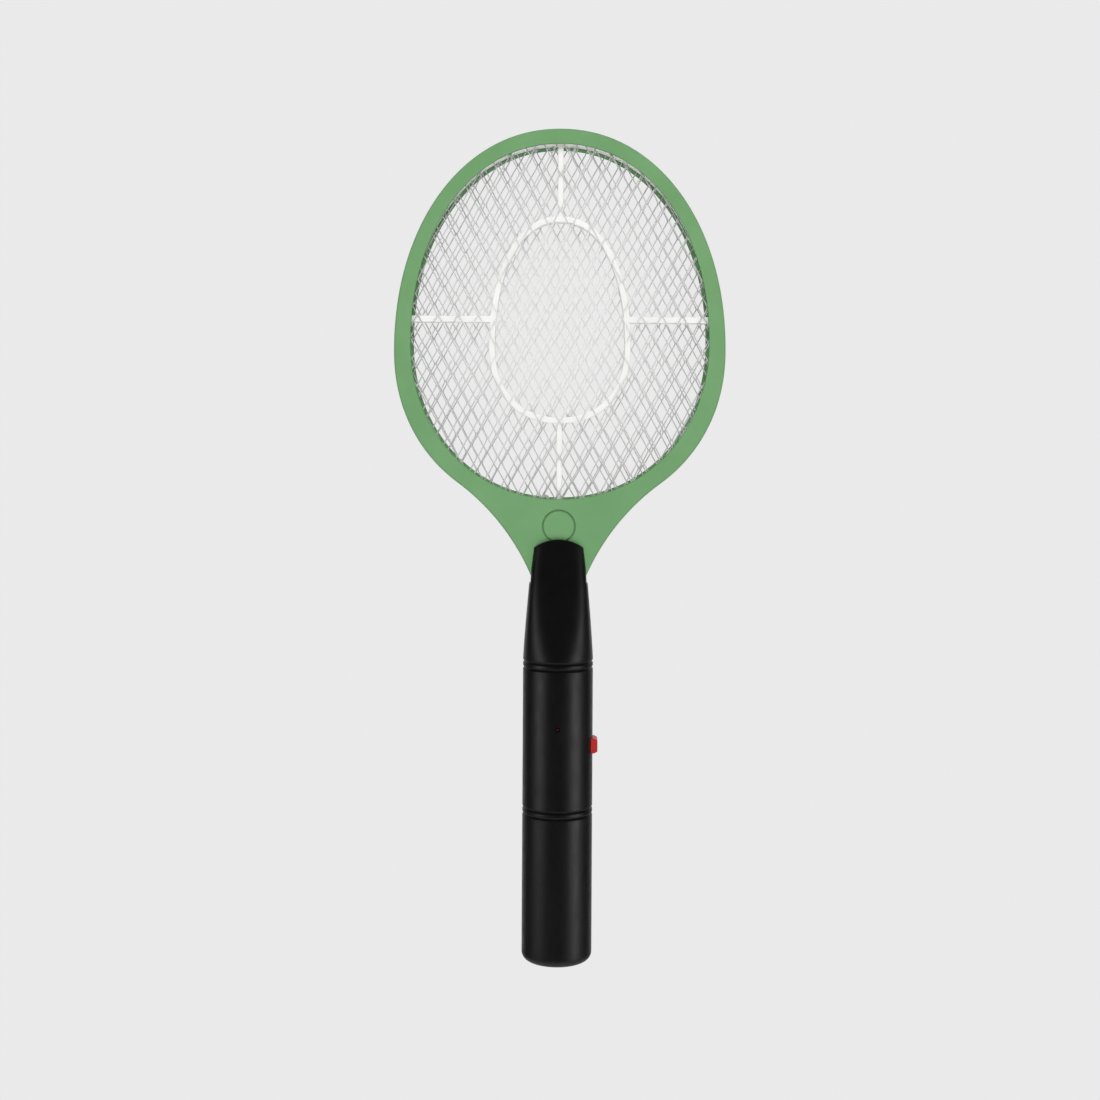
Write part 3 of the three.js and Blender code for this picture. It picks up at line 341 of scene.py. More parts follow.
def tube(name, points, radius, steps=12, sides=16):
    """A round tube along a smooth line through the points."""
    given = [Vector(point) for point in points]
    line = [given[0] * 2 - given[1], *given, given[-1] * 2 - given[-2]]
    path = []
    for a, b, c, d in zip(line, line[1:], line[2:], line[3:]):
        for step in range(steps):
            t = step / steps
            path.append(0.5 * (2 * b + (c - a) * t + (2 * a - 5 * b + 4 * c - d) * t * t
                               + (3 * b - a - 3 * c + d) * t ** 3))
    path.append(given[-1])
    rings = []
    across = None
    for index, point in enumerate(path):
        along = (path[min(index + 1, len(path) - 1)] - path[max(index - 1, 0)]).normalized()
        if across is None:
            across = along.orthogonal().normalized()
        across = (across - along * across.dot(along)).normalized()
        other = along.cross(across)
        angles = [TAU * i / sides for i in range(sides)]
        rings.append([tuple(point + radius * (across * math.cos(a) + other * math.sin(a))) for a in angles])
    return loft(name, rings)


def bake(obj):
    bpy.context.view_layer.update()
    mesh = bpy.data.meshes.new_from_object(obj.evaluated_get(bpy.context.evaluated_depsgraph_get()))
    obj.modifiers.clear()
    obj.data = mesh
    return obj


def boolean(obj, operation, others):
    for other in others:
        modifier = obj.modifiers.new("boolean", "BOOLEAN")
        modifier.operation, modifier.solver, modifier.object = operation, "MANIFOLD", other
        other.hide_render = True
        bake(obj)
        bpy.data.objects.remove(other)
    return obj


def cut(obj, *others):
    return boolean(obj, "DIFFERENCE", others)


def join(obj, *others):
    return boolean(obj, "UNION", others)


def common(obj, *others):
    return boolean(obj, "INTERSECT", others)


def copy(obj):
    made = obj.copy()
    made.data = obj.data.copy()
    bpy.context.scene.collection.objects.link(made)
    return made


def bevel(obj, width, segments=2, angle=40):
    modifier = obj.modifiers.new("bevel", "BEVEL")
    modifier.width, modifier.segments, modifier.angle_limit = width, segments, math.radians(angle)
    modifier.limit_method, modifier.harden_normals = "ANGLE", False
    return bake(obj)


def settle(obj, look, body, slot, *nodes, smooth=38):
    """Takes a finished piece into the row frame, gives it its material and body, and hides the CAD nodes that
    it stands for. The slot is not used.
    """
    obj.data.transform(Matrix.Translation((0, 0, LUG_TIP)) @ Matrix.Scale(MM, 4))
    obj.data.shade_smooth()
    obj.data.set_sharp_from_angle(angle=math.radians(smooth))
    weighted = obj.modifiers.new("normals", "WEIGHTED_NORMAL")
    weighted.keep_sharp = True
    obj.data.materials.clear()
    obj.data.materials.append(look)
    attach(obj, body)
    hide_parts(*nodes)


# ---------- outlines of the head ----------


def arc(centre_x, centre_z, radius_x, radius_z, start, end, steps):
    angles = [start + (end - start) * i / steps for i in range(steps + 1)]
    return [(centre_x + radius_x * math.cos(a), centre_z + radius_z * math.sin(a)) for a in angles]


def swell(share, power):
    """Cosine or sine of a full oval: fuller than a circle's when the power is above 2."""
    return math.copysign(abs(share) ** (2 / power), share)


def oval(form, inset=0.0, steps=288, start=-math.pi / 2, end=1.5 * math.pi):
    """An oval moved inwards, without its repeated last point when it goes all the way round."""
    middle, half, top, bottom, power = form
    points = []
    for i in range(steps + 1):
        a = start + (end - start) * i / steps
        reach = top if math.sin(a) > 0 else bottom
        x = (half - inset) * swell(math.cos(a), power)
        points.append((x, middle + (reach - inset) * swell(math.sin(a), power)))
    return points[:-1] if math.isclose(end - start, TAU) else points


def head(inset):
    """Head and neck in one outline, moved inwards."""
    x = HEAD_HALF * swell(math.cos(FLANK_START), HEAD_POWER)
    z = HEAD_BOTTOM * swell(math.sin(FLANK_START), HEAD_POWER)
    touch = Vector((x, HEAD_Z - z))
    normal = Vector(((x / HEAD_HALF) ** (HEAD_POWER - 1) / HEAD_HALF,
                     -(z / HEAD_BOTTOM) ** (HEAD_POWER - 1) / HEAD_BOTTOM)).normalized()
    to_neck = Vector((NECK_HALF, NECK_Z)) - touch
    radius = to_neck.length_squared / (2 * normal.dot(to_neck))
    centre = touch + normal * radius
    reach = radius + inset
    start = math.atan2(touch.y - centre.y, touch.x - centre.x)
    end = math.pi - math.asin((NECK_END + inset - centre.y) / reach)
    right = arc(centre.x, centre.y, reach, reach, end, start if start > 0 else start + TAU, 40)
    ring = oval(HEAD, inset, 240, -FLANK_START, math.pi + FLANK_START)
    left = [(-x, z) for x, z in reversed(right)]
    return right[:-1] + ring + left[1:]


def at(outline, y):
    return [(x, y, z) for x, z in outline]


def rounding(radius, steps=5):
    """(inset, drop) pairs round a quarter circle, from the side wall to the face."""
    angles = [math.pi / 2 * i / steps for i in range(steps + 1)]
    return [(radius * (1 - math.cos(a)), radius * (1 - math.sin(a))) for a in angles]


# ---------- frame of the head ----------

FRAME_EDGE, LIP_EDGE, SEAM_EDGE, TANG_EDGE = 1.1, 1.1, 0.2, 0.4
POST_RADIUS = 3.6


def frame_half(side, opening_form, name):
    rings = [at(head(SEAM_EDGE), side * PARTING), at(head(0), side * (PARTING + SEAM_EDGE))]
    rings += [at(head(inset), side * (FRAME_DEPTH - drop)) for inset, drop in rounding(FRAME_EDGE)]
    body = loft(name, rings)
    opening = [at(oval(opening_form), 0)]
    opening += [at(oval(opening_form, drop - LIP_EDGE), side * (FRAME_DEPTH - inset))
                for inset, drop in reversed(rounding(LIP_EDGE))]
    opening.append(at(oval(opening_form, -LIP_EDGE), side * (FRAME_DEPTH + 1)))
    cavity_top = FRAME_DEPTH - FRAME_SKIN
    cut(body, loft("cavity", [at(head(FRAME_WALL), -side), at(head(FRAME_WALL), side * cavity_top)]),
        loft("opening", opening))
    tang = side_block(side, (-TANG_HALF, TANG_HALF), PARTING, TANG_DEPTH, (TANG_LOW, NECK_END + FRAME_WALL))
    bevel(tang, TANG_EDGE)
    join(body, tang, rod_y(0, SHELL_SCREWS[0][1], POST_RADIUS, side * PARTING, side * (FRAME_DEPTH - 0.5)))
    for hand in (-1, 1):
        cut(body, side_block(side, (hand * CHANNEL_X - CHANNEL_HALF, hand * CHANNEL_X + CHANNEL_HALF), -1,
                             CHANNEL_DEPTH, (TANG_LOW - 1, NECK_END + FRAME_WALL + 1)))
    cut(body, rod_y(0, SHELL_SCREWS[0][1], SCREW_HOLE, -side, side * (FRAME_DEPTH + 1)))
    return body


def pressed_ring():
    """The ring pressed into the neck, as a tube that is cut away."""
    rings = []
    for i in range(8):
        a = TAU * i / 8
        radius = MARK_MIDDLE + MARK_GROOVE / 2 * math.cos(a)
        y = -FRAME_DEPTH + MARK_DEPTH * math.sin(a)
        rings.append([(x, y, z) for x, z in arc(0, MARK_Z, radius, radius, 0, TAU, 96)[:-1]])
    return loft("ring", rings, closed=True)


front_frame = cut(frame_half(-1, FRONT_OPENING, "front_frame_half"), pressed_ring())
settle(front_frame, green_with_painted_groove_shade, "casing", "green_plastic", "front_frame")
settle(frame_half(1, REAR_OPENING, "rear_frame_half"), green, "casing", "green_plastic", "rear_frame")

# ---------- nets and spacers ----------

NET_HIDDEN = 3.6  # the strands end this far inside the ring's outline, in the net's border
NET_BORDER = 1.2  # how far the border reaches past the strands' ends
NET_WAVE = 0.12  # how far the drawing of the sheet has moved a knot
KNOT_HALF, KNOT_TALL, KNOT_WAIST, KNOT_NOTCH = 0.55, 1.6, 0.45, 0.35


def shrink(x, z, inset):
    """How far out a point lies: 1 on the oval of that inset."""
    reach = HEAD_TOP if z > HEAD_Z else HEAD_BOTTOM
    across, along = abs(x) / (HEAD_HALF - inset), abs(z - HEAD_Z) / (reach - inset)
    return (across ** HEAD_POWER + along ** HEAD_POWER) ** (1 / HEAD_POWER)


def net(name, y, shift_x, shift_z, slant):
    """A net of drawn diamonds: knots at the crossings, and strands between the knots' corners."""
    half_x, half_z = PITCH_X / 2, PITCH_Z / 2
    sine, cosine = math.sin(slant), math.cos(slant)
    points, faces, knots = [], [], {}

    def spot(column, row):
        x, z = shift_x + column * half_x, shift_z + row * half_z
        x += NET_WAVE * math.sin(0.9 * row + 0.5 * column)
        z += NET_WAVE * math.cos(0.7 * column - 0.4 * row)
        return x * cosine - z * sine, HEAD_Z + x * sine + z * cosine

    span = int(HEAD_TOP / half_x) + 3
    inside = [(c, r) for c in range(-span, span + 1) for r in range(-span, span + 1)
              if (c + r) % 2 == 0 and shrink(*spot(c, r), NET_HIDDEN) < 0.985]
    waist, tall, notch = KNOT_WAIST / 2, KNOT_TALL / 2, KNOT_TALL / 2 - KNOT_NOTCH
    outline = ((waist, tall), (0, notch), (-waist, tall), (-KNOT_HALF, 0),
               (-waist, -tall), (0, -notch), (waist, -tall), (KNOT_HALF, 0), (0, 0))
    for cell in inside:
        x, z = spot(*cell)
        start = len(points)
        points += [(x + dx, y, z + dz) for dx, dz in outline]
        knots[cell] = start
        faces += [(start + 8, start + 7, start, start + 1), (start + 8, start + 1, start + 2, start + 3),
                  (start + 8, start + 3, start + 4, start + 5), (start + 8, start + 5, start + 6, start + 7)]
    # corners of a knot that a strand leaves from: up right, up left, down left, down right
    ports = {(1, 1): (7, 0), (-1, 1): (2, 3), (-1, -1): (3, 4), (1, -1): (6, 7)}
    for cell in inside:
        for (dc, dr), (first, second) in ports.items():
            other = (cell[0] + dc, cell[1] + dr)
            if other in knots and dr < 0:
                continue
            a, b = (Vector(points[knots[cell] + port]) for port in (first, second))
            start_mid = (a + b) / 2
            if other in knots:
                far_first, far_second = ports[(-dc, -dr)]
                c, d = knots[other] + far_second, knots[other] + far_first
                end_mid = (Vector(points[c]) + Vector(points[d])) / 2
            else:
                target = Vector((spot(*other)[0], y, spot(*other)[1]))
                t = 1.0
                while shrink(*(start_mid.lerp(target, t).xz), NET_HIDDEN) > 1 and t > 0.05:
                    t -= 0.02
                end_mid = start_mid.lerp(target, t)
            along = (end_mid - start_mid).normalized()
            across = Vector((along.z, 0, -along.x)) * (WIRE / 2)
            if (a - b).dot(across) < 0:
                across = -across
            previous = (knots[cell] + first, knots[cell] + second)
            stops = (0.12, 0.5, 0.88) if other in knots else (0.15, 0.6, 1.0)
            for stop in stops:
                middle = start_mid.lerp(end_mid, stop)
                points += [tuple(middle + across), tuple(middle - across)]
                current = (len(points) - 2, len(points) - 1)
                faces.append((previous[0], previous[1], current[1], current[0]))
                previous = current
            if other in knots:
                if (Vector(points[c]) - end_mid).dot(across) < 0:
                    c, d = d, c
                faces.append((previous[0], previous[1], d, c))
    sheet = solid(name, points, faces)
    thick = sheet.modifiers.new("thickness", "SOLIDIFY")
    thick.thickness, thick.offset = NET_THICKNESS, 0
    round_off = sheet.modifiers.new("rounding", "SUBSURF")
    round_off.levels = round_off.render_levels = 1
    bake(sheet)
    inner, half = NET_HIDDEN + NET_BORDER, NET_THICKNESS / 2
    corners = ((NET_EDGE, -half), (NET_EDGE, half), (inner, half), (inner, -half))
    rings = [at(oval(HEAD, inset), y + rise) for inset, rise in corners]
    return join(sheet, loft("border", rings, closed=True))


for net_name, node, net_y, shift_x, shift_z, slant in (
        ("front_net", "front_mesh", -OUTER_NET_Y - NET_THICKNESS / 2, 0.0, 0.0, 0.0),
        ("centre_net", "centre_mesh", 0.0, 4.0, 3.0, 0.012),
        ("rear_net", "rear_mesh", OUTER_NET_Y + NET_THICKNESS / 2, 2.6, -4.0, -0.016)):
    settle(net(net_name, net_y, shift_x, shift_z, slant), wire_metal, "casing", "net_wire", node, smooth=60)

SPACER_EDGE, RIM_EDGE = 0.5, 0.3
BAR_OVERLAP = 0.4  # how far a bar's end reaches into the oval's band


def band(name, outer, inner, near, far, edge):
    """A closed band between two outlines (functions of an inset), with both far edges rounded."""
    rings = [at(outer(0), near)]
    rings += [at(outer(inset), far - drop) for inset, drop in rounding(edge, 3)]
    rings += [at(inner(-inset), far - drop) for inset, drop in reversed(rounding(edge, 3))]
    rings.append(at(inner(0), near))
    return loft(name, rings, closed=True)


def inner_oval(inset):
    return oval(SPACER_OVAL, inset, 192)


def spacer(side, name):
    """Rim, oval and four bars of one spacer, built in front of the middle plane or behind it."""
    near, far = SPACER_NEAR, SPACER_FAR
    rim = band(name, lambda i: oval(HEAD, RIM_OUT + i), lambda i: oval(RIM_OPENING, i), near, far, RIM_EDGE)
    bar_ends = loft("limit", [at(oval(HEAD, RIM_OUT + 1), 0), at(oval(HEAD, RIM_OUT + 1), far + 1)])
    across = block((-HEAD_HALF, near, BAR_Z - BAR_HEIGHT / 2), (HEAD_HALF, far, BAR_Z + BAR_HEIGHT / 2))
    upright = block((-BAR_WIDTH / 2, near, HEAD_Z - HEAD_BOTTOM), (BAR_WIDTH / 2, far, HEAD_Z + HEAD_TOP))
    for bar in (across, upright):
        bevel(bar, SPACER_EDGE, 3)
    common(across, copy(bar_ends))
    common(upright, bar_ends)
    middle = inner_oval(OVAL_BAND - BAR_OVERLAP)
    bars = cut(join(across, upright), loft("hole", [at(middle, near - 1), at(middle, far + 1)]))
    join(rim, band("oval", inner_oval, lambda i: inner_oval(OVAL_BAND + i), near, far, SPACER_EDGE), bars)
    for hand in (-1, 1):
        cut(rim, block((hand * EYELET_X - TERMINAL_GAP, 0, HEAD_Z - HEAD_BOTTOM),
                       (hand * EYELET_X + TERMINAL_GAP, far + 1, EYELET_Z + TERMINAL_GAP)))
    if side < 0:
        rim.data.transform(Matrix.Scale(-1, 4, (0, 1, 0)))
        rim.data.flip_normals()
    return rim


settle(spacer(-1, "front_spacer_moulding"), white, "casing", "white_plastic", "front_spacer")
settle(spacer(1, "rear_spacer_moulding"), white, "casing", "white_plastic", "rear_spacer")

TAG_THICK, TAG_INSET, CENTRE_TAG_Y, CENTRE_TAG_DROP = 0.5, 0.35, 0.7, 6


def terminal(name, x, y, ring_z):
    """A pierced tag with eased edges, and a tail to the solder joint."""
    low, high = y - TAG_THICK / 2, y + TAG_THICK / 2
    tag = join(rod_y(x, ring_z, EYELET_RADIUS, low, high, name=name),
               block((x - TAIL_WIDTH / 2, low, TAIL_Z), (x + TAIL_WIDTH / 2, high, ring_z)))
    bevel(cut(tag, rod_y(x, ring_z, EYELET_HOLE, low - 1, high + 1)), 0.08, 1, 50)
    return tag


for tag_name, node, tag_x, tag_y, tag_z in (
        ("front_eyelet", "front_terminal", -EYELET_X, -SPACER_FAR + TAG_INSET, EYELET_Z),
        ("centre_eyelet", "centre_terminal", EYELET_X, CENTRE_TAG_Y, EYELET_Z - CENTRE_TAG_DROP),
        ("rear_eyelet", "rear_terminal", -EYELET_X, SPACER_FAR - TAG_INSET, EYELET_Z)):
    settle(terminal(tag_name, tag_x, tag_y, tag_z), plated, "casing", "plated_contact", node)

# ---------- handle ----------

ROUND = 192
GROOVE_LIP, GROOVE_CURVE, BEAD_DROP = 1.25, 1.1, 0.1
GROOVE_REACH, FINE_STEP = 2.9, 0.15  # rings lie this close together across a pair of grooves


def groove_drop(z):
    """Depth of the paired grooves at a height, with soft lips and a rounded bead between them."""
    drop = 0.0
    for centre in GROOVES:
        u = z - centre
        for middle in (-GROOVE_SPACING, GROOVE_SPACING):
            share = abs(u - middle) / (GROOVE_HALF * GROOVE_LIP)
            if share < 1:
                drop = max(drop, GROOVE_DEPTH * (1 - share) ** GROOVE_CURVE)
        if abs(u) < GROOVE_SPACING:
            drop = max(drop, BEAD_DROP * (u / GROOVE_SPACING) ** 2)
    return drop


def taper_share(z):
    """How far along the taper a height is: 0 at its start and 1 at the shoulder."""
    return max(0.0, z - TAPER_Z) / (SHOULDER_Z - TAPER_Z)


def taper_radius(z):
    return RADIUS - TAPER_DROP * taper_share(z) ** TAPER_POWER


def facet_depth(z):
    return RADIUS - FACET_SLOPE * max(0.0, z - FACET_Z)


def section_power(z):
    """Power of the section's outline, which is round at 2 and squarer above."""
    return 2 + (SQUARENESS - 2) * min(1.0, taper_share(z))


def section(z, angle, wall=0.0, drop=0.0):
    """Distance from the axis to the handle's surface at a height and direction."""
    half_width = taper_radius(z) - wall - drop
    half_depth = min(half_width, facet_depth(z) - wall - drop)
    power = section_power(z)
    c, s = abs(math.cos(angle)) / half_width, abs(math.sin(angle)) / half_depth
    return (c ** power + s ** power) ** (-1 / power)


def form(name, rings, wall=0.0, segments=ROUND):
    """A solid through rings given as (drop of the surface, height)."""
    made = []
    for drop, z in rings:
        angles = [TAU * i / segments for i in range(segments)]
        radii = [section(z, a, wall, drop) for a in angles]
        made.append([(r * math.cos(a), r * math.sin(a), z) for a, r in zip(angles, radii)])
    return loft(name, made)


def steps_between(low, high, step):
    count = max(1, round((high - low) / step))
    return [low + (high - low) * i / count for i in range(count + 1)]


def outer_form(name="outer"):
    corner = [(BUTT_CORNER * (1 - math.sin(a)), BUTT_Z + BUTT_CORNER * (1 - math.cos(a)))
              for a in [math.pi / 2 * i / 10 for i in range(11)]]
    heights = []
    for low, high in ((BUTT_Z + BUTT_CORNER + 3, GROOVES[0] - 3), (GROOVES[0] + 3, GROOVES[1] - 3)):
        heights += steps_between(low, high, 9)
    for centre in GROOVES:
        heights += steps_between(centre - GROOVE_REACH, centre + GROOVE_REACH, FINE_STEP)
    heights += steps_between(TAPER_Z + 0.6, TONGUE_TIP + 2, 2)
    return form(name, corner + [(groove_drop(z), z) for z in sorted(heights)])


def inner_form():
    top = SHOULDER_Z - FRAME_WALL
    rings = [(2.5, BUTT_Z + 2.5), (0.8, BUTT_Z + 3.3), (0, BUTT_Z + 5), (0, 80), (0, 120), (0, TAPER_Z)]
    rings += [(0, z) for z in steps_between(TAPER_Z + 2, top, 3)]
    return form("inner", rings, WALL, 96)


FAR = 60
TONGUE_EDGE = 0.9


def tongue_outline():
    """The tongue seen from the front, anticlockwise from its lower right corner."""
    low, bend_z = SHOULDER_Z - 1, TONGUE_CORNER_Z - 2
    narrow = TONGUE_HALF - TONGUE_NARROWING
    right = [(TONGUE_HALF + (narrow - TONGUE_HALF) * i / 6, low + (bend_z - low) * i / 6) for i in range(7)]
    start, bend, end = (Vector(p) for p in (
        right[-1], (narrow - 0.15, TONGUE_CORNER_Z - 0.6), (TONGUE_CORNER_X, TONGUE_CORNER_Z)))
    for i in range(1, 9):
        t = i / 8
        right.append(tuple(start * (1 - t) ** 2 + bend * 2 * t * (1 - t) + end * t * t))
    rise = TONGUE_TIP - TONGUE_CORNER_Z
    radius = (TONGUE_CORNER_X ** 2 + rise ** 2) / (2 * rise)
    half = math.asin(TONGUE_CORNER_X / radius)
    top = arc(0, TONGUE_TIP - radius, radius, radius, math.pi / 2 - half, math.pi / 2 + half, 48)[1:-1]
    left = [(-x, z) for x, z in reversed(right)]
    return right + top + left


def surface_depth(x, z):
    """How far the handle's outside lies from the middle plane above a point of the tongue."""
    power = section_power(z)
    share = min(1.0, abs(x) / taper_radius(z))
    return facet_depth(z) * (1 - share ** power) ** (1 / power)


def tongue_limit(side):
    """What the handle keeps above its shoulder: the tongue's outline, under a lid that rounds its edge."""
    outline = tongue_outline()
    count = len(outline)
    floor = FRAME_DEPTH + TONGUE_GAP
    steps = [TONGUE_EDGE * (1 - math.cos(math.pi / 2 * i / 8)) for i in range(9)]
    rings = [at(outline, side * floor)]
    for step in steps:
        share = step / TONGUE_EDGE
        drop = TONGUE_EDGE * (1 - math.sqrt(max(0.0, 1 - (1 - share) ** 2)))
        ring = []
        for i, (x, z) in enumerate(outline):
            along = (Vector(outline[(i + 1) % count]) - Vector(outline[i - 1])).normalized()
            px, pz = x - along.y * step, max(z + along.x * step, SHOULDER_Z - 1)
            ring.append((px, side * max(floor + 0.02, surface_depth(px, pz) - drop + 0.03), pz))
        rings.append(ring)
    rings.append([(x, side * (RADIUS + 1), z) for x, _, z in rings[-1]])
    return loft("tongue", rings)


LUG_EDGE = 0.4


def lug_half(side):
    half = math.asin(LUG_HALF / LUG_RADIUS)
    down = -math.pi / 2
    outline = arc(0, LUG_RADIUS, LUG_RADIUS, LUG_RADIUS, down - half, down + half, 40)
    outline += [(LUG_HALF, BUTT_Z + 1), (-LUG_HALF, BUTT_Z + 1)]
    rings = [at(outline, side * PARTING), at(outline, side * (LUG_THICK - LUG_EDGE))]
    centre = Vector((0, BUTT_Z + 1))
    for inset, drop in rounding(LUG_EDGE, 4)[1:]:
        moved = []
        for x, z in outline:
            away = Vector((x, z)) - centre
            away.length -= inset
            moved.append((centre.x + away.x, centre.y + away.y))
        rings.append(at(moved, side * (LUG_THICK - drop)))
    lug = loft("lug", rings)
    return cut(lug, rod_y(0, LUG_HOLE_Z, LUG_HOLE, -side, side * (LUG_THICK + 1)))


TANG_SIDE_GAP, TANG_FACE_GAP = 0.3, 0.2
BUTTON_GAP = 0.25
COVER_POST_RADIUS, WELL_RADIUS = 3, 4.2
POST_ROOT = 0.6  # a post ends this far short of the outside


def shell_half(side, name):
    kept = join(side_block(side, (-FAR, FAR), PARTING, FAR, (-1, SHOULDER_Z)), tongue_limit(side))
    shell = cut(common(outer_form(name), kept), inner_form())
    half, depth = TANG_HALF + TANG_SIDE_GAP, TANG_DEPTH + TANG_FACE_GAP
    cut(shell, block((-half, -depth, SHOULDER_Z - 4), (half, depth, SHOULDER_Z + 1)))
    return join(shell, lug_half(side))


def button_hole():
    tall, deep = BUTTON_HALF + BUTTON_GAP, BUTTON_DEPTH + BUTTON_GAP
    return bevel(block((RADIUS - 5, -deep, BUTTON_Z - tall), (RADIUS + 2, deep, BUTTON_Z + tall)), 0.5, 3)


def front_post(z, radius, back_y):
    return common(rod_y(0, z, radius, -RADIUS + POST_ROOT, back_y), outer_form())


def divider():
    front = common(rod_z(RADIUS - WALL + 0.8, DIVIDER_Z, DIVIDER_Z + DIVIDER_THICK),
                   block((-FAR, -FAR, DIVIDER_Z - 1), (FAR, -PARTING, DIVIDER_Z + 5)))
    back = common(rod_z(RADIUS - WALL - 0.4, DIVIDER_Z, DIVIDER_Z + DIVIDER_THICK),
                  block((-FAR, -PARTING - 1, DIVIDER_Z - 1), (FAR, DIVIDER_BACK, DIVIDER_Z + 5)))
    whole = join(front, back)
    for hand in (-1, 1):
        cut(whole, block((hand * CHANNEL_X - 1.5, DIVIDER_BACK - 4, DIVIDER_Z - 1),
                         (hand * CHANNEL_X + 1.5, DIVIDER_BACK + 1, DIVIDER_Z + 5)))
    return whole


def front_shell():
    shell = shell_half(-1, "front_handle_shell")
    join(shell, divider(), front_post(SHELL_SCREWS[2][1], POST_RADIUS, -PARTING),
         front_post(SHELL_SCREWS[1][1], POST_RADIUS, -PARTING),
         front_post(COVER_SCREW_Z, COVER_POST_RADIUS, COVER_SEAT - 4.2))
    for z, low, high in ((SHELL_SCREWS[2][1], -8, 1), (SHELL_SCREWS[1][1], -8, 1), (COVER_SCREW_Z, 1, 12),
                         (SHELL_SCREWS[0][1], -10, -FRAME_DEPTH + 1)):
        cut(shell, rod_y(0, z, SHANK + 0.3, low, high))
    bore = LAMP_RADIUS + 0.15
    dish = [(LAMP_RADIUS + 0.5, -RADIUS - 0.3), (bore, -RADIUS + 0.15), (bore, -RADIUS + 4)]
    return cut(shell, turn("lamp_hole", dish, lambda a, b, t: (a, t, LAMP_Z + b)), button_hole())


def cover_opening(gap):
    return block((-COVER_HALF - gap, PARTING - 1, COVER_LOW - gap), (COVER_HALF + gap, FAR, COVER_HIGH + gap))


def screw_well(z, seat):
    return turn("well", [(SCREW_HOLE, 0), (SCREW_HOLE, seat), (COUNTERBORE, seat), (COUNTERBORE, RADIUS + 1)],
                lambda a, b, t: (a, t, z + b))


def rear_shell():
    shell = shell_half(1, "rear_handle_shell")
    for _, z, _, _ in SHELL_SCREWS[1:]:
        join(shell, common(rod_y(0, z, WELL_RADIUS, PARTING, RADIUS + 1), outer_form()))
    for hand in (-1, 1):
        rib = block((hand * 8 - 0.8, BOARD_Y + BOARD_THICK + 0.1, BOARD_LOW + 6),
                    (hand * 8 + 0.8, RADIUS, BOARD_HIGH - 6))
        join(shell, common(rib, outer_form()))
    for _, z, seat, _ in SHELL_SCREWS:
        cut(shell, screw_well(z, seat))
    return cut(shell, button_hole(), cover_opening(COVER_GAP))


FINGER_GROOVES = (20, 23, 26, 29)


def battery_cover():
    lid = common(cut(outer_form("battery_door"), inner_form()), cover_opening(0))
    seat = common(rod_y(0, COVER_SCREW_Z, WELL_RADIUS, COVER_SEAT - 4, RADIUS), outer_form())
    join(lid, common(seat, cover_opening(0)))
    cut(lid, screw_well(COVER_SCREW_Z, COVER_SEAT))
    for z in FINGER_GROOVES:
        cut(lid, bevel(block((-6, RADIUS - 0.6, z - 0.5), (6, RADIUS + 1, z + 0.5)), 0.3, 3))
    return lid


settle(front_shell(), black, "casing", "black_plastic", "front_shell", smooth=32)
settle(rear_shell(), black, "casing", "black_plastic", "rear_shell", smooth=32)
settle(battery_cover(), black, "cover", "black_plastic", "battery_cover", smooth=32)

# ---------- screws ----------


THREAD_PITCH, THREAD_DEPTH = 0.8, 0.3
TINY = 0.05  # radius at which a turned piece closes on its axis


def screw(name, z, seat, tip):
    """A pan head with a cross recess, a shank with thread-like rings and a point."""
    profile = [(TINY, tip), (SHANK - 0.45, tip + 1.2)]
    for i in range(int((seat - tip - 1.6) / THREAD_PITCH)):
        low = tip + 1.3 + i * THREAD_PITCH
        root = SHANK - THREAD_DEPTH
        profile += [(root, low), (SHANK, low + 0.3), (root, low + 0.6)]
    profile += [(SHANK - 0.1, seat), (SCREW_HEAD - 0.15, seat), (SCREW_HEAD, seat + 0.2)]
    for i in range(1, 8):
        a = math.pi / 2 * i / 8
        profile.append((SCREW_HEAD * math.cos(a) ** 0.8, seat + 0.5 + (SCREW_HEIGHT - 0.5) * math.sin(a)))
    top = seat + SCREW_HEIGHT
    profile.append((TINY, top))
    made = turn(name, profile, lambda a, b, t: (a, t, z + b), 40)
    for wide, tall in ((1.5, 0.35), (0.35, 1.5)):
        slot = loft("slot", [[(-wide * k, y, z - tall * k), (wide * k, y, z - tall * k),
                              (wide * k, y, z + tall * k), (-wide * k, y, z + tall * k)]
                             for y, k in ((top - 0.9, 0.55), (top + 0.3, 1.0))])
        cut(made, slot)
    return made


for screw_name, screw_z, seat_y, tip_y in SHELL_SCREWS:
    settle(screw(screw_name.replace("shell", "casing"), screw_z, seat_y, tip_y), screw_metal, "casing",
           "screw_steel", screw_name, smooth=50)
settle(screw("door_screw", COVER_SCREW_Z, COVER_SEAT, COVER_TIP), screw_metal, "cover_screw", "screw_steel",
       "battery_cover_screw", smooth=50)

# ---------- controls ----------


def button_cap():
    face = RADIUS + BUTTON_REACH
    low, high = BUTTON_Z - BUTTON_HALF, BUTTON_Z + BUTTON_HALF
    outline = [(FLANGE_X, low), (face - 2 * BUTTON_CHAMFER, low), (face, low + BUTTON_CHAMFER),
               (face, high - BUTTON_CHAMFER), (face - 2 * BUTTON_CHAMFER, high), (FLANGE_X, high)]
    cap = bevel(loft("button_cap", [at(outline, -BUTTON_DEPTH), at(outline, BUTTON_DEPTH)]), 0.35, 3, 20)
    flange = block((FLANGE_X, -FLANGE_DEPTH, BUTTON_Z - FLANGE_HALF),
                   (FLANGE_X + FLANGE_THICK, FLANGE_DEPTH, BUTTON_Z + FLANGE_HALF))
    bevel(flange, 0.25, 2)
    stem = rod_x(SWITCH_Y, BUTTON_Z, 2, SWITCH_HIGH + 2, FLANGE_X + 0.5)
    return join(cap, flange, stem)


settle(button_cap(), red, "button", "red_plastic", "power_button")

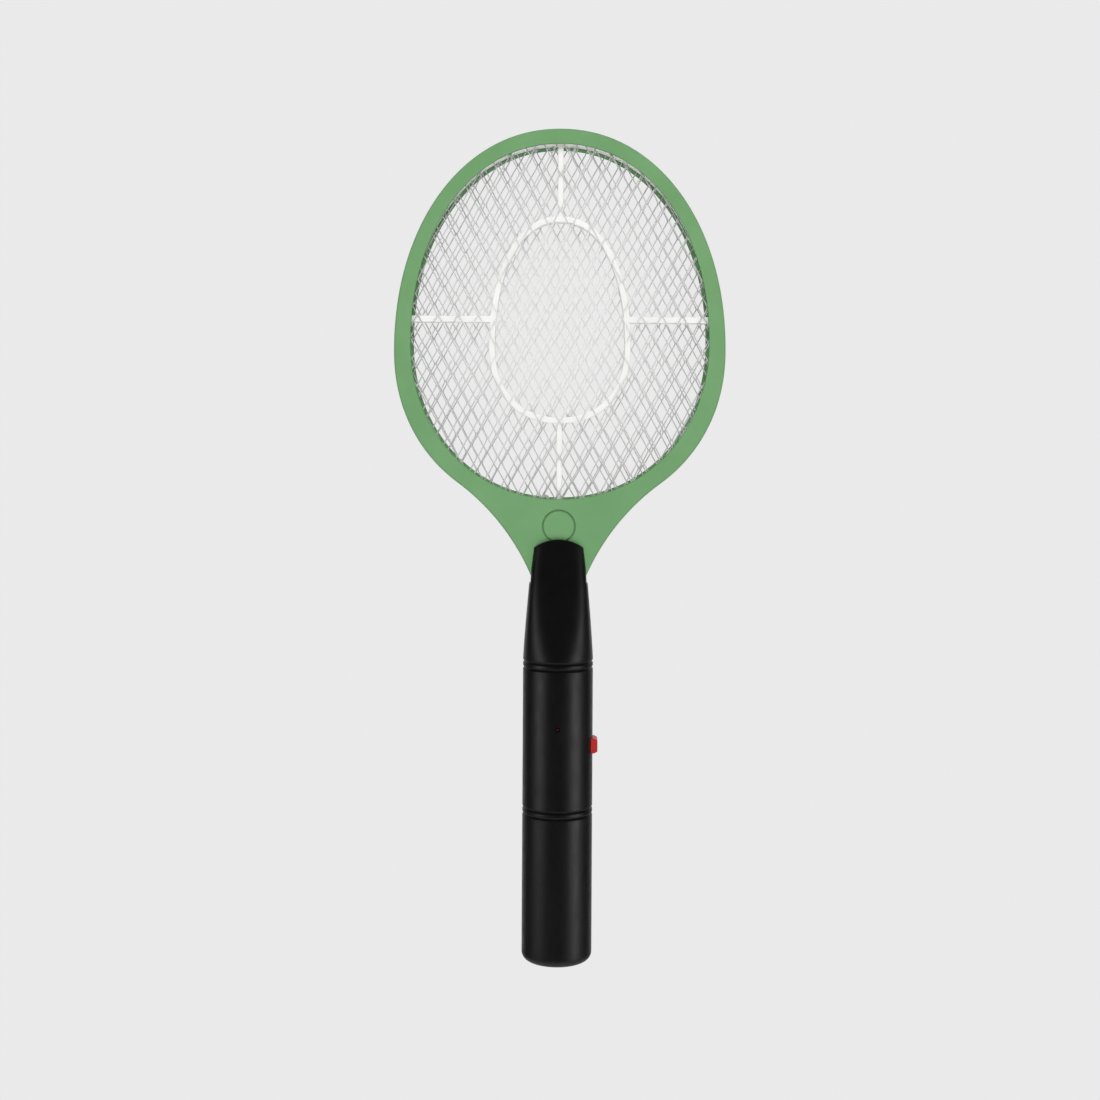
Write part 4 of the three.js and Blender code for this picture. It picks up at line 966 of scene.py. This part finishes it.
stem_profile = [(0.8, SWITCH_LOW + 2.4), (1.1, SWITCH_LOW + 2.7),
                (1.1, SWITCH_HIGH + 1.4), (0.75, SWITCH_HIGH + 1.8)]
plunger = turn("switch_stem", stem_profile, lambda a, b, t: (t, SWITCH_Y + a, BUTTON_Z + b), 32)
settle(plunger, dark_plastic, "button", "dark_plastic", "switch_plunger")

lamp_profile = [(TINY, LAMP_TIP)]
lamp_profile += [(LAMP_RADIUS * math.sin(a), LAMP_TIP + LAMP_RADIUS * (1 - math.cos(a)))
                 for a in [math.pi / 2 * i / 9 for i in range(1, 10)]]
lamp_profile += [(LAMP_RADIUS, LAMP_TIP + 4.2), (LAMP_RADIUS + 0.4, LAMP_TIP + 4.25),
                 (LAMP_RADIUS + 0.4, LAMP_TIP + 5.2), (TINY, LAMP_TIP + 5.2)]
lamp = turn("lamp_capsule", lamp_profile, lambda a, b, t: (a, t, LAMP_Z + b), 40)
for hand in (-1, 1):
    join(lamp, block((hand - 0.3, LAMP_TIP + 5, LAMP_Z - 0.3), (hand + 0.3, BOARD_Y - 0.1, LAMP_Z + 0.3)))
settle(lamp, lens, "casing", "lamp_lens", "indicator_lamp")

# ---------- cells and contacts ----------


def cell(name, x, end_z, up):
    """A cell with a crimped shoulder at each end and a nub."""
    can = CELL_LENGTH - CELL_NUB_HEIGHT
    profile = [(TINY, 0.25), (4.6, 0.25), (5.2, 0.0), (6.2, 0.0), (6.8, 0.25), (7.0, 0.8), (7.05, 2.2),
               (CELL_RADIUS, 2.6), (CELL_RADIUS, can - 3.2), (7.05, can - 2.6), (7.05, can - 0.9),
               (6.8, can - 0.3), (6.3, can), (5.6, can), (5.3, can - 0.35), (CELL_NUB + 0.7, can - 0.35),
               (CELL_NUB, can), (CELL_NUB, can + 0.95), (CELL_NUB - 0.3, CELL_LENGTH), (TINY, CELL_LENGTH)]
    return turn(name, profile, lambda a, b, t: (x + a, b, end_z + up * t), 72)


def cell_jacket(name, end_z, up, body, cuff):
    """Printed foil without writing: a body colour, a second one at the nub's end, and bare metal ends."""
    look = Look(name)
    split = look.node("ShaderNodeSeparateXYZ")
    look.link(look.place, split.inputs["Vector"])
    start = LUG_TIP + end_z * MM
    along = look.math("MULTIPLY", look.math("SUBTRACT", split.outputs["Z"], start), up / (CELL_LENGTH * MM))
    bands = look.node("ShaderNodeValToRGB")
    bands.color_ramp.interpolation = "CONSTANT"
    bare = linear(190, 190, 186)
    bands.color_ramp.elements[0].color = bare
    bands.color_ramp.elements[1].position, bands.color_ramp.elements[1].color = 0.045, body
    for position, tone in ((0.70, linear(214, 214, 210)), (0.715, cuff), (0.925, bare)):
        bands.color_ramp.elements.new(position).color = tone
    look.link(along, bands.inputs["Fac"])
    mottle = look.ramp(look.noise(0.004), linear(226, 226, 226), linear(255, 255, 255))
    look.paint(look.product(bands.outputs["Color"], mottle)).roughness(0.22, 0.36).relief(0.002, 0.000008)
    return look.set(Metallic=0.6, Coat_Weight=0.4, Coat_Roughness=0.15).material


SPRING_SPACE = SPRING_HEIGHT + 2 * SPRING_WIRE + 0.2
LOWER_CELL = PLATE_LOW + PLATE_THICK + SPRING_SPACE
UPPER_CELL = PLATE_HIGH - SPRING_SPACE
for number, cell_x, end_z, up in ((1, -CELL_X, LOWER_CELL, 1), (2, CELL_X, UPPER_CELL, -1)):
    jacket = cell_jacket(f"cell_jacket_{number}", end_z, up, linear(40, 84, 148), linear(178, 140, 72))
    settle(cell(f"cell_{number}", cell_x, end_z, up), jacket, "casing", "cell_jacket", f"battery_{number}")


SPRING_TURNS, SPRING_STEPS = 3, 72


def spring(name, x, low_z, up):
    """A coil of wire that narrows towards the cell."""
    points = []
    for i in range(SPRING_STEPS + 1):
        t = i / SPRING_STEPS
        narrowing = t if up > 0 else 1 - t
        radius = SPRING_WIDE + (SPRING_NARROW - SPRING_WIDE) * narrowing
        angle = TAU * SPRING_TURNS * t
        z = low_z + SPRING_WIRE + SPRING_HEIGHT * t
        points.append((x + radius * math.cos(angle), radius * math.sin(angle), z))
    return tube(name, points, SPRING_WIRE, 2, 12)


for number, spring_x, low_z, up in (
        (1, -CELL_X, PLATE_LOW + PLATE_THICK + 0.1, 1), (2, CELL_X, UPPER_CELL + 0.1, -1)):
    settle(spring(f"cell_spring_{number}", spring_x, low_z, up), spring_steel, "casing", "plated_contact",
           f"battery_spring_{number}")


def contact(name, low_x, high_x, z):
    """A pressed strip with eased edges."""
    strip = block((low_x, -PLATE_HALF, z), (high_x, PLATE_HALF, z + PLATE_THICK), name)
    return bevel(strip, 0.12, 2)


for strip_name, node, low_x, high_x, strip_z in (
        ("lower_strip", "lower_contact_plate", -12.5, 12.5, PLATE_LOW),
        ("upper_strip_positive", "upper_contact_positive", -12.5, -1.8, PLATE_HIGH),
        ("upper_strip_negative", "upper_contact_negative", 1.8, 12.5, PLATE_HIGH)):
    settle(contact(strip_name, low_x, high_x, strip_z), plated, "casing", "plated_contact", node)

# ---------- board, its parts and the leads: the part's own solids, which only get their finish ----------

for look, slot_name, nodes in (
        (plated, "plated_contact", ("switch_body",)),
        (laminate, "board_laminate", ("circuit_board",)),
        (ferrite, "dark_plastic", ("transformer_core",)),
        (copper, "copper_winding", ("transformer_winding",)),
        (film, "capacitor_coating", ("main_capacitor",)),
        (ceramic, "ceramic_coating", ("ceramic_capacitor_1", "ceramic_capacitor_2")),
        (dark_plastic, "dark_plastic", ("transistor", "diode_1", "diode_2", "diode_3")),
        (tan_coating, "resistor_coating", ("resistor_1", "resistor_2")),
        (red_cover, "red_insulation", ("high_voltage_lead", "battery_lead_positive")),
        (black_cover, "black_insulation", ("ground_lead", "ground_jumper", "battery_lead_negative"))):
    for node in nodes:
        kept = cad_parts[node]
        kept.data.materials.clear()
        kept.data.materials.append(look)

# ---------- studio ----------

BACKDROP, DIM = linear(234, 234, 234), (0.05, 0.05, 0.05, 1)


def studio_world():
    """Pale behind the object, and dim behind the camera, so that dark plastic keeps its depth."""
    world = bpy.data.worlds.new("studio")
    bpy.context.scene.world = world
    world.use_nodes = True
    tree = world.node_tree
    tree.nodes.clear()
    made = {kind: tree.nodes.new("ShaderNode" + kind) for kind in (
        "TexCoord", "SeparateXYZ", "MapRange", "ValToRGB", "Background", "OutputWorld")}
    made["MapRange"].inputs["From Min"].default_value = -1.0
    for element, position, tone in zip(made["ValToRGB"].color_ramp.elements, (0.8, 0.94), (DIM, BACKDROP)):
        element.position, element.color = position, tone
    for source, given, target, taken in (
            ("TexCoord", "Generated", "SeparateXYZ", "Vector"), ("SeparateXYZ", "Y", "MapRange", "Value"),
            ("MapRange", "Result", "ValToRGB", "Fac"), ("ValToRGB", "Color", "Background", "Color"),
            ("Background", "Background", "OutputWorld", "Surface")):
        tree.links.new(made[source].outputs[given], made[target].inputs[taken])


def softbox(name, azimuth, elevation, distance, width, height, watts, target, mirrored=True):
    """A light at an azimuth from the camera's side, positive to the right, and an elevation, in degrees."""
    data = bpy.data.lights.new(name, "AREA")
    data.shape, data.size, data.size_y, data.energy = "RECTANGLE", width, height, watts
    obj = bpy.data.objects.new(name, data)
    bpy.context.scene.collection.objects.link(obj)
    a, e = math.radians(azimuth), math.radians(elevation)
    away = Vector((math.sin(a) * math.cos(e), -math.cos(a) * math.cos(e), math.sin(e)))
    obj.location = Vector(target) + away * distance
    obj.rotation_euler = (-away).to_track_quat("-Z", "Y").to_euler()
    obj.visible_glossy = mirrored


studio_world()
softbox("left_strip", -61, 0, 1.1, 0.55, 0.36, 1.9, (0, 0, -0.1))
softbox("right_strip", 61, 0, 1.1, 0.55, 0.52, 3.0, (0, 0, -0.22))
for light, azimuth, elevation, watts in (
        ("high_front", 0, 50, 25.0), ("low_front", 0, -35, 14.5), ("high_back", 180, 35, 16.0)):
    softbox(light, azimuth, elevation, 1.8, 1.4, 1.0, watts, (0, 0, 0.12), mirrored=False)

FLOOR_Z, FLOOR_RADIUS = -0.6, 0.8


def floor():
    profile = [(FLOOR_RADIUS, -0.01), (FLOOR_RADIUS, 0.0)]
    disc = turn("floor", profile, lambda a, b, t: (a, b, FLOOR_Z + t), 128)
    look = Look("floor_paper").colour(linear(232, 232, 232), linear(236, 236, 236), 0.2)
    look.roughness(0.85, 0.95, 0.05).relief(0.002, 0.00002)
    disc.data.materials.append(look.material)


floor()

CAMERA_DISTANCE, CAMERA_HEIGHT, CAMERA_X = 0.87, 285.0, -0.0049
VIEW_WIDTH, VIEW_MIDDLE = 0.5776, 218.4  # span of the picture at the object, and the height in its middle
LEAN = math.radians(0.32)
SENSOR = 36.0

camera_data = bpy.data.cameras.new("camera")
camera_data.sensor_width = SENSOR
camera_data.lens = SENSOR * CAMERA_DISTANCE / VIEW_WIDTH
camera_data.shift_y = (VIEW_MIDDLE - CAMERA_HEIGHT) * MM / VIEW_WIDTH
camera = bpy.data.objects.new("camera", camera_data)
bpy.context.scene.collection.objects.link(camera)
camera.location = (CAMERA_X, -CAMERA_DISTANCE, LUG_TIP + CAMERA_HEIGHT * MM)
camera.rotation_euler = (Matrix.Rotation(math.pi / 2, 3, "X") @ Matrix.Rotation(LEAN, 3, "Z")).to_euler()
bpy.context.scene.camera = camera
bpy.context.scene.view_settings.view_transform = "Standard"
